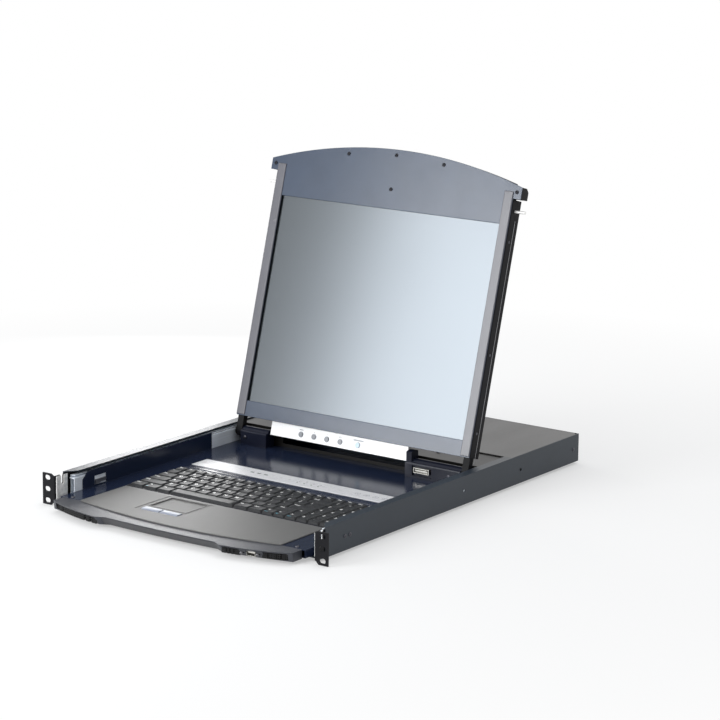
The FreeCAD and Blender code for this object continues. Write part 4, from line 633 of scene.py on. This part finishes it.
def key_cap(piece, low, high):
    """One cap: upright skirt, leaning sides, round shoulder, dished top. Returns its top's surface."""
    middle = (low + high) / 2
    half = (high - low) / 2
    top = high.z - CAP_SUNK
    foot = top - CAP_VISIBLE
    skirt = high.z - CAP_HEIGHT
    edge = CAP_DRAFT + CAP_EDGE

    def outline(inset, share=1.0, radius=1.4):
        reach = (half.x - inset) * share, (half.y - inset) * share
        return rounded(*around(middle.x, middle.y, *reach), max(radius * share, 0.2))

    def surface(x, y):
        share = max(abs(x - middle.x) / (half.x - CAP_DRAFT), abs(y - middle.y) / (half.y - CAP_DRAFT))
        return top - CAP_DISH * max(0.0, 1.0 - min(share, 1.0) ** 2)

    peg = rounded(*around(middle.x, middle.y, CAP_PEG / 2, CAP_PEG / 2), 0.3)
    rings = [(peg, low.z), (peg, skirt)]
    rings += [(outline(0.25, radius=0.7), skirt), (outline(0.0, radius=0.8), foot)]
    rings += [(outline(CAP_DRAFT * 0.75, radius=1.2), top - 0.75), (outline(CAP_DRAFT * 0.93), top - 0.22)]
    rings += [(outline(edge), top)]
    rings += [(outline(edge, share), top - CAP_DISH * (1 - share ** 2)) for share in DISH_SHARES]
    piece.loft(rings)
    return surface


def key_row(row, words):
    """One row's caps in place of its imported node, with their words raised on the tops."""
    node, body = f"key_row_{row + 1}", f"keys_{row + 1}"
    caps, white, blue = Piece(), Piece(), Piece()
    second_ink, second_shift = (blue, BLUE_SHIFT) if row == FRONT_ROW else (white, WHITE_SHIFT)
    seconds = SECOND_LEGENDS.get(row, {})
    boxes = sorted(solids(node), key=lambda box: box[0].x)
    for i, ((low, high), word) in enumerate(zip(boxes, words)):
        surface = key_cap(caps, low, high)
        size = LETTER if len(word) == 1 and row != FUNCTION_ROW else WORD
        left, back = low.x + CAP_DRAFT + 0.7, high.y - CAP_DRAFT - 0.8
        if word:
            white.text(word, left, back - LEGEND_DROP * size, size, surface)
        if i in seconds:
            second_ink.text(seconds[i], left + second_shift, low.y + CAP_DRAFT + 0.8, SECOND, surface)
    caps.finish(f"key_caps_{row + 1}", body, "key_plastic", replaces=(node,))
    white.finish(f"key_legends_{row + 1}", body, "osd_plastic", "legend_white")
    if row == FRONT_ROW:
        blue.finish(f"key_second_legends_{row + 1}", body, "power_button_plastic", "legend_blue")


for row, words in enumerate(LEGENDS):
    key_row(row, words)


# ---------------------------------------------------------------- screws

HEAD_RADIUS, HEAD_HEIGHT = 2.7, 1.3
FIRST_TURN, TURN_STEP = 0.3, 1.1     # radians that the recesses are turned by, one after another
LCD_HEAD_HALF = 0.65                 # half the thickness of a packed lcd_screws head


def screw_heads():
    """Cross-recess screws in place of the plain heads of three nodes, each standing on its own surface."""
    turn = FIRST_TURN
    for node, body in (("chassis_screws", "chassis"), ("tray_screws", "drawer"), ("lcd_screws", "screen")):
        heads = Piece()
        for low, high in solids(node):
            middle, size = (low + high) / 2, high - low
            thin = min(range(3), key=lambda k: size[k])
            if node == "lcd_screws":
                lean = Matrix.Rotation(-LEAN, 4, "X")
                base = middle + (lean @ Vector((0, LCD_HEAD_HALF, 0)))
                heads.frame = ROW @ Matrix.Translation(base) @ lean @ FRONT
            elif thin == 0:
                side = RIGHT if middle.x > 0 else LEFT
                heads.frame = facing(side, (low.x if middle.x > 0 else high.x, middle.y, middle.z))
            elif thin == 1:
                rear = node == "chassis_screws"
                at = (middle.x, low.y if rear else high.y, middle.z)
                heads.frame = facing(REAR if rear else FRONT, at)
            else:
                heads.frame = facing(UP, (middle.x, middle.y, low.z))
            turn += TURN_STEP
            heads.screw(0.0, 0.0, HEAD_RADIUS, HEAD_HEIGHT, turn)
        look = "screw_black" if node == "lcd_screws" else None
        heads.finish(f"{node[:-1]}_heads", body, "screw_steel", look, replaces=(node,))


screw_heads()


# ---------------------------------------------------------------- front edge

RAY_COUNT = 9         # heights at which a front face is looked for
RAY_INSET = 0.25      # of the lowest and highest of them
RAY_START = -90.0     # in front of everything

GRILLE_PITCH = 2.25
GRILLE_ROW_SHARE = 0.92      # least pitch between rows, as a share of the pitch across
GRILLE_HOLE = 0.78           # radius
GRILLE_MARGIN_X, GRILLE_MARGIN_Z = 1.4, 0.6     # without holes, both sides together
GRILLE_THICKNESS = 1.0
PROFILE_STEPS = 40
PROFILE_INSET = 0.4

PORT_SCREW_REACH = 11.0      # from the data port's middle to the screws beside it
SLOPE_REACH = 2.2            # each way from a screw, for the slope that it stands on


def front_surface(node):
    """Function giving the front y, in mm, of a node at an x, from rays at several heights."""
    mesh = frame["nodes"][node].data
    tree = BVHTree.FromPolygons([v.co for v in mesh.vertices], [p.vertices for p in mesh.polygons])
    low, high = extent(node)
    tall = high.z - low.z - 2 * RAY_INSET

    def front(x):
        hits = []
        for i in range(RAY_COUNT):
            z = low.z + RAY_INSET + tall * i / (RAY_COUNT - 1)
            at = tree.ray_cast(Vector((x, RAY_START, z)) * MM, Vector((0, 1, 0)))[0]
            if at is not None:
                hits.append(at.y / MM)
        return min(hits) if hits else None

    return front


def profile(front, x0, x1):
    """Function giving y at an x along a front face, going straight on past its ends."""
    wide = x1 - x0 - 2 * PROFILE_INSET
    places = [x0 + PROFILE_INSET + wide * k / PROFILE_STEPS for k in range(PROFILE_STEPS + 1)]
    known = [(x, front(x)) for x in places if front(x) is not None]

    def depth(x):
        for (xa, ya), (xb, yb) in zip(known, known[1:]):
            if x <= xb or (xb, yb) == known[-1]:
                return ya + (yb - ya) * (x - xa) / (xb - xa)

    return depth


def perforate(sheet, low, high, depth):
    """Cover a rectangle with cells that each have a round hole, following the depth at every x."""
    columns = int((high.x - low.x - GRILLE_MARGIN_X) / GRILLE_PITCH)
    rows = int((high.z - low.z - GRILLE_MARGIN_Z) / (GRILLE_PITCH * GRILLE_ROW_SHARE))
    pitch_z = (high.z - low.z - GRILLE_MARGIN_Z) / rows
    first_x = (low.x + high.x - (columns - 1) * GRILLE_PITCH) / 2
    first_z = (low.z + high.z - (rows - 1) * pitch_z) / 2
    for i in range(columns):
        for j in range(rows):
            cx, cz = first_x + i * GRILLE_PITCH, first_z + j * pitch_z
            xa = low.x if i == 0 else cx - GRILLE_PITCH / 2
            xb = high.x if i == columns - 1 else cx + GRILLE_PITCH / 2
            za = low.z if j == 0 else cz - pitch_z / 2
            zb = high.z if j == rows - 1 else cz + pitch_z / 2
            cell = ((xb, cz), (xb, zb), (cx, zb), (xa, zb), (xa, cz), (xa, za), (cx, za), (xb, za))
            hole = circle(cx, cz, GRILLE_HOLE, len(cell))
            outer, inner = ([sheet.bm.verts.new(ROW @ Vector((x, depth(x), z))) for x, z in ring]
                            for ring in (cell, hole))
            for k in range(len(cell)):
                m = (k + 1) % len(cell)
                sheet.bm.faces.new((outer[k], outer[m], inner[m], inner[k]))


def grilles():
    """Perforated plates that follow the front edge, in place of the plain grilles."""
    front = front_surface("front_grilles")
    sheet = Piece()
    for low, high in solids("front_grilles"):
        perforate(sheet, low, high, profile(front, low.x, high.x))
    bmesh.ops.remove_doubles(sheet.bm, verts=sheet.bm.verts, dist=1e-5)
    piece = sheet.finish("perforated_grilles", "drawer", "grille_plastic", replaces=("front_grilles",))
    flipped = sum(p.normal.y for p in piece.data.polygons) > 0
    thick = piece.modifiers.new("thickness", "SOLIDIFY")
    thick.thickness = GRILLE_THICKNESS * MM
    thick.offset = 1.0 if flipped else -1.0


def data_port_screws():
    """Cross-recess heads either side of the front data port, square to the slanting edge."""
    front = front_surface("front_bezel")
    low, high = extent("usb_port")
    middle = (low + high) / 2
    heads = Piece()
    for i, x in enumerate((middle.x - PORT_SCREW_REACH, middle.x + PORT_SCREW_REACH)):
        before, after = front(x - SLOPE_REACH), front(x + SLOPE_REACH)
        slope = math.atan2(after - before, 2 * SLOPE_REACH)
        at = Vector((x, (after + before) / 2, middle.z))
        heads.frame = ROW @ Matrix.Translation(at) @ Matrix.Rotation(slope, 4, "Z") @ FRONT
        heads.screw(0.0, 0.0, 2.1, 1.0, 0.5 + i)
    heads.finish("data_port_screws", "drawer", "screw_steel", "bright_screw")


grilles()
data_port_screws()


# ---------------------------------------------------------------- marks and small fittings

SUNK = 0.02               # how far marks reach into the surface that they stand on
RAISED = 0.12             # and how far they stand out of it

LAMP_PITCH = 12.0
STRIP_BUTTON_PITCH = 15.0
WINDOWS_X, LAMPS_X, STRIP_BUTTONS_X = -78.0, 4.0, 104.0     # the first of each group on the silver strip

RIDGES = (13.5, 5.0)      # in front of the silver strip's front edge
RIDGE_HALF_WIDTH = 0.7

LOUVRE_PITCH = 9.0
LOUVRE_COUNT = 25
SHELL_BACK = 10.5         # housing's back, behind the screen's face
OSD_FACE = 6.0            # menu panel's face, in front of the screen's
OSD_BUTTON_HEIGHT = 10.0
OSD_WORD_HEIGHT, OSD_WORD = 15.6, 2.5

PIN_PITCH, PIN_ROW_PITCH = 2.29, 1.98
PIN_SHIFTS = (-0.57, 0.57, 0.0)     # sideways, of each row of pins from the bottom up
NUT_RADIUS = 2.55


def row_of(first, pitch, count):
    """Evenly spaced places."""
    return [first + pitch * i for i in range(count)]


def flat(height):
    """Surface for lettering that stands on a level face."""
    return lambda x, y: height


def port_strip_marks():
    """Lamp windows, numbered lamps and ringed symbols, in three groups on the silver strip."""
    low, high = extent("port_strip")
    top = high.z
    middle = (low.y + high.y) / 2
    marks, lamps = Piece(), Piece()
    for x in row_of(WINDOWS_X, LAMP_PITCH, 3):
        marks.rim(*around(x, middle, 3.4, 2.0), 1.6, 0.5, top - SUNK, top + RAISED)
        lamps.plate(*around(x, middle, 2.7, 1.3), 1.1, top - SUNK, top + 0.22)
    for x, number in zip(row_of(LAMPS_X, LAMP_PITCH, 4), "1234"):
        lamps.dome(x, middle - 4.5, 1.3, top - SUNK, 0.45, 14)
        marks.text(number, x - 1.5, middle + 0.5, 5.0, flat(top))
    for x, symbol in zip(row_of(STRIP_BUTTONS_X, STRIP_BUTTON_PITCH, 4), "1A<>"):
        marks.rim(*around(x, middle, 4.2, 3.4), 2.2, 0.45, top - SUNK, top + RAISED)
        marks.text(symbol, x - 1.4, middle - 1.7, 4.6, flat(top))
    marks.finish("port_strip_marks", "drawer", "keyboard_plastic", "mark_grey")
    lamps.finish("port_strip_lamps", "drawer", "osd_button_plastic", "lamp_lens")


def deck_ridges():
    """Two fine ribs pressed across the deck in front of the silver strip."""
    low, high = extent("port_strip")
    ribs = Piece()
    for ahead in RIDGES:
        front, rear = low.y - ahead - RIDGE_HALF_WIDTH, low.y - ahead + RIDGE_HALF_WIDTH
        ribs.plate(low.x, front, high.x, rear, 0.6, low.z - 0.2, low.z + 0.4, 0.25)
    ribs.finish("deck_ridges", "drawer", "tray_paint")


def screen_back():
    """Pressed louvres and edge screws on the back of the screen's housing."""
    louvres, heads = Piece(facing(REAR, base=SCREEN)), Piece(facing(REAR, base=SCREEN))
    first = -LOUVRE_PITCH * (LOUVRE_COUNT // 2)
    for height in (318.0, 346.0):
        for x in row_of(first, LOUVRE_PITCH, LOUVRE_COUNT):
            louvres.loft([(rounded(*around(x, height, 3.0, 10.0), 2.6), SHELL_BACK - 0.1),
                          (rounded(*around(x, height, 2.8, 9.8), 2.5), SHELL_BACK + 0.35),
                          (rounded(x - 1.9, height - 8.6, x + 2.6, height + 8.6, 1.8), SHELL_BACK + 1.1)])
    places = [(x, height) for x in (-186.0, 186.0) for height in row_of(48.0, 102.0, 4)]
    places += [(x, 36.0) for x in row_of(-96.0, 96.0, 3)]
    places += [(x, 384.0) for x in (-130.0, -44.0, 44.0, 130.0)]
    for i, (x, height) in enumerate(places):
        heads.frame = facing(REAR, base=SCREEN) @ Matrix.Translation((x, height, SHELL_BACK))
        heads.screw(0.0, 0.0, 2.7, 1.1, 0.9 * i)
    louvres.finish("screen_back_louvres", "screen", "shell_paint")
    heads.finish("screen_back_screws", "screen", "screw_steel")


def osd_marks():
    """Words over the menu buttons, a bar over the power button, and a ring round each button."""
    marks, rings = Piece(facing(FRONT, base=SCREEN)), Piece(facing(FRONT, base=SCREEN))
    buttons = [middle_x(f"osd_button_{i}") for i in range(1, 5)]
    for x, word in zip(buttons, ("MENU", "<", ">", "EXIT")):
        marks.text(word, x - 0.33 * OSD_WORD * len(word), OSD_WORD_HEIGHT, OSD_WORD, flat(OSD_FACE))
    power = middle_x("power_button")
    rings.plate(power - 9.0, 15.4, power + 9.0, 17.6, 0.8, OSD_FACE - SUNK, OSD_FACE + 0.15)
    for x in buttons + [power]:
        outer, inner = (circle(x, OSD_BUTTON_HEIGHT, radius, 28) for radius in (4.5, 3.95))
        rings.tube([(outer, OSD_FACE - SUNK), (outer, OSD_FACE + RAISED),
                    (inner, OSD_FACE + 0.16), (inner, OSD_FACE - SUNK)])
    marks.finish("osd_marks", "screen", "osd_button_plastic", "mark_grey")
    rings.finish("osd_rings", "screen", "osd_button_plastic", "ring_grey")


def screen_sides():
    """Seam bead and small screws down both sides of the screen's housing."""
    beads, heads = Piece(), Piece()
    out = extent("lcd_back_shell")[1].x
    for side, sign in ((RIGHT, 1.0), (LEFT, -1.0)):
        beads.frame = facing(side, base=SCREEN)
        seam = sign * 1.8
        beads.plate(seam - 0.35, 12.0, seam + 0.35, 352.0, 0.3, out - 0.1, out + 0.18, 0.1)
        for k, height in enumerate((56.0, 165.0, 322.0)):
            heads.frame = facing(side, base=SCREEN) @ Matrix.Translation((-sign * 4.6, height, out))
            heads.screw(0.0, 0.0, 1.9, 0.5, 0.4 + k)
    beads.finish("screen_seams", "screen", "module_steel", "seam_steel")
    heads.finish("screen_side_screws", "screen", "screw_steel")


def touchpad_shaded_rim():
    """Raised edge round the touchpad, coloured dark as painted shade for the shadow along the recess's edges."""
    low, high = extent("touchpad")
    top = extent("palm_rest")[1].z
    out = 1.6
    rim = Piece()
    rim.rim(low.x - out, low.y - out, high.x + out, high.y + out, 1.8, 1.1, top - 0.1, top + 0.18)
    rim.finish("touchpad_shaded_rim", "drawer", "pad_plastic", "pad_edge_painted_shade")


def dee(x, z, half_x, half_z, radius):
    """Outline of a console socket: a rounded rectangle that's wider at its top."""
    return [(x + (px - x) * (1.0 + 0.07 * (pz - z) / half_z), pz)
            for px, pz in rounded(*around(x, z, half_x, half_z), radius)]


def hexagon(x, z):
    """Outline of a nut, with a point at each corner and in the middle of each side."""
    outline = []
    for k in range(6):
        a, b = (math.radians(60 * (k + d)) for d in (0, 1))
        pa, pb = ((NUT_RADIUS * math.cos(angle), NUT_RADIUS * math.sin(angle)) for angle in (a, b))
        outline += [(x + pa[0], z + pa[1]), (x + (pa[0] + pb[0]) / 2, z + (pa[1] + pb[1]) / 2)]
    return outline


def rear_connectors():
    """Fifteen-way console sockets: flange, shell, blue insert, pin holes and hexagon nuts."""
    shells, inserts, holes, nuts = (Piece(facing(REAR)) for _ in range(4))
    face = extent("rear_panel")[1].y
    top = extent("rear_ports")[1].y
    for low, high in solids("rear_ports"):
        x, z = -(low.x + high.x) / 2, (low.z + high.z) / 2
        if high.x - low.x > 10.0:
            outer, inner = dee(x, z, 8.0, 4.2, 1.8), dee(x, z, 7.5, 3.7, 1.5)
            filling, front = dee(x, z, 7.4, 3.6, 1.5), dee(x, z, 7.2, 3.4, 1.4)
            shells.plate(*around(x, z, 15.4, 6.0), 1.2, face - 0.1, face + 0.8)
            shells.tube([(outer, face + 0.5), (outer, top - 0.2), (inner, top - 0.2), (inner, face + 0.5)])
            inserts.loft([(filling, face + 0.4), (filling, top - 0.9), (front, top - 0.7)])
            for row, shift in enumerate(PIN_SHIFTS):
                for k in range(5):
                    pin_x, pin_z = x + (k - 2) * PIN_PITCH + shift, z + (row - 1) * PIN_ROW_PITCH
                    holes.dome(pin_x, pin_z, 0.5, top - 0.72, 0.06, 8)
        else:
            nut = hexagon(x, z)
            nuts.loft([(nut, face + 0.6), (nut, top - 1.2), (circle(x, z, 2.1, 12), top - 1.0),
                       (circle(x, z, 1.35, 12), top - 1.0), (circle(x, z, 1.2, 12), face + 1.0)])
    shells.finish("console_port_shells", "chassis", "usb_steel", "port_nickel", replaces=("rear_ports",))
    inserts.finish("console_port_inserts", "chassis", "port_plastic")
    holes.finish("console_port_holes", "chassis", "port_plastic", "socket_black")
    nuts.finish("console_port_nuts", "chassis", "usb_steel", "nut_nickel")


port_strip_marks()
deck_ridges()
screen_back()
osd_marks()
screen_sides()
touchpad_shaded_rim()
rear_connectors()


# ---------------------------------------------------------------- stage

FLOOR_DROP = 0.0005
FLOOR_REACH = 14.0
OBJECT_MIDDLE = (0.0, 0.28, 0.0)
NEAR, FAR = 0.45, 1.30      # distances between which the floor goes over to white
NEAR_WHITE = 0.40           # how white it already is up to the nearer one
FILL_STRENGTH = 0.62
COOL = (0.97, 0.985, 1.0)
WHITE = (1.0, 1.0, 1.0)


def seen_white(tree):
    """Socket that is 1 for rays from the camera, off gloss and through glass, and 0 for diffuse light."""
    path = tree.nodes.new("ShaderNodeLightPath")
    rays = [path.outputs[name] for name in ("Is Camera Ray", "Is Glossy Ray", "Is Transmission Ray")]
    total = rays[0]
    for ray in rays[1:]:
        either = tree.nodes.new("ShaderNodeMath")
        either.operation = "MAXIMUM"
        tree.links.new(total, either.inputs[0])
        tree.links.new(ray, either.inputs[1])
        total = either.outputs["Value"]
    return total


def world_light():
    """Dim cool fill light, whose background looks white."""
    world = bpy.data.worlds.new("studio")
    world.use_nodes = True
    tree = world.node_tree
    fill = tree.nodes["Background"]
    fill.inputs["Color"].default_value = (*COOL, 1.0)
    fill.inputs["Strength"].default_value = FILL_STRENGTH
    white = tree.nodes.new("ShaderNodeBackground")
    white.inputs["Color"].default_value = (*WHITE, 1.0)
    white.inputs["Strength"].default_value = 1.0
    mix = tree.nodes.new("ShaderNodeMixShader")
    tree.links.new(seen_white(tree), mix.inputs["Fac"])
    tree.links.new(fill.outputs["Background"], mix.inputs[1])
    tree.links.new(white.outputs["Background"], mix.inputs[2])
    tree.links.new(mix.outputs["Shader"], tree.nodes["World Output"].inputs["Surface"])
    bpy.context.scene.world = world


def floor_paint():
    """Pale matt floor that goes over to the white background away from the object."""
    s = Shader("floor")
    s.set(Base_Color=(0.93, 0.93, 0.93, 1.0), Roughness=0.9, Specular_IOR_Level=0.1)
    away = s.nodes.new("ShaderNodeVectorMath")
    away.operation = "DISTANCE"
    s.links.new(s.place, away.inputs[0])
    away.inputs[1].default_value = OBJECT_MIDDLE
    far = s.remap(away.outputs["Value"], NEAR, FAR, NEAR_WHITE, 1.0)
    white = s.nodes.new("ShaderNodeEmission")
    mix = s.nodes.new("ShaderNodeMixShader")
    s.links.new(s.math("MULTIPLY", far, seen_white(s.tree)), mix.inputs["Fac"])
    s.links.new(s.bsdf.outputs["BSDF"], mix.inputs[1])
    s.links.new(white.outputs["Emission"], mix.inputs[2])
    s.links.new(mix.outputs["Shader"], s.nodes["Material Output"].inputs["Surface"])


def floor():
    """Wide square just under the object's lowest point."""
    floor_paint()
    mesh = bpy.data.meshes.new("floor")
    r, z = FLOOR_REACH, CAD_BOUNDS[0][2] - FLOOR_DROP
    mesh.from_pydata([(-r, -r, z), (r, -r, z), (r, r, z), (-r, r, z)], [], [(0, 1, 2, 3)])
    ground = bpy.data.objects.new("floor", mesh)
    COLLECTION.objects.link(ground)
    mesh.materials.append(MATERIALS["floor"])


def softbox(name, at, aim, size, power, colour=WHITE):
    """Rectangular lamp that the camera doesn't see."""
    data = bpy.data.lights.new(name, "AREA")
    data.shape = "RECTANGLE"
    data.size, data.size_y = size
    data.energy = power
    data.color = colour
    lamp = bpy.data.objects.new(name, data)
    COLLECTION.objects.link(lamp)
    lamp.visible_camera = False
    lamp.location = at
    lamp.rotation_euler = (Vector(aim) - Vector(at)).to_track_quat("-Z", "Y").to_euler()


world_light()
floor()
softbox("front_softbox", at=(-0.78, -1.42, 0.62), aim=(0.0, 0.37, 0.2), size=(1.0, 1.1), power=25.0,
        colour=COOL)
softbox("top_softbox", at=(0.0, 0.6, 2.3), aim=(0.0, 0.25, 0.0), size=(1.8, 1.8), power=15.0)
softbox("rim_softbox", at=(-0.773, 0.86, 0.25), aim=(-0.215, 0.15, 0.02), size=(0.22, 0.30), power=1.4)

bpy.context.scene.view_settings.view_transform = "Standard"
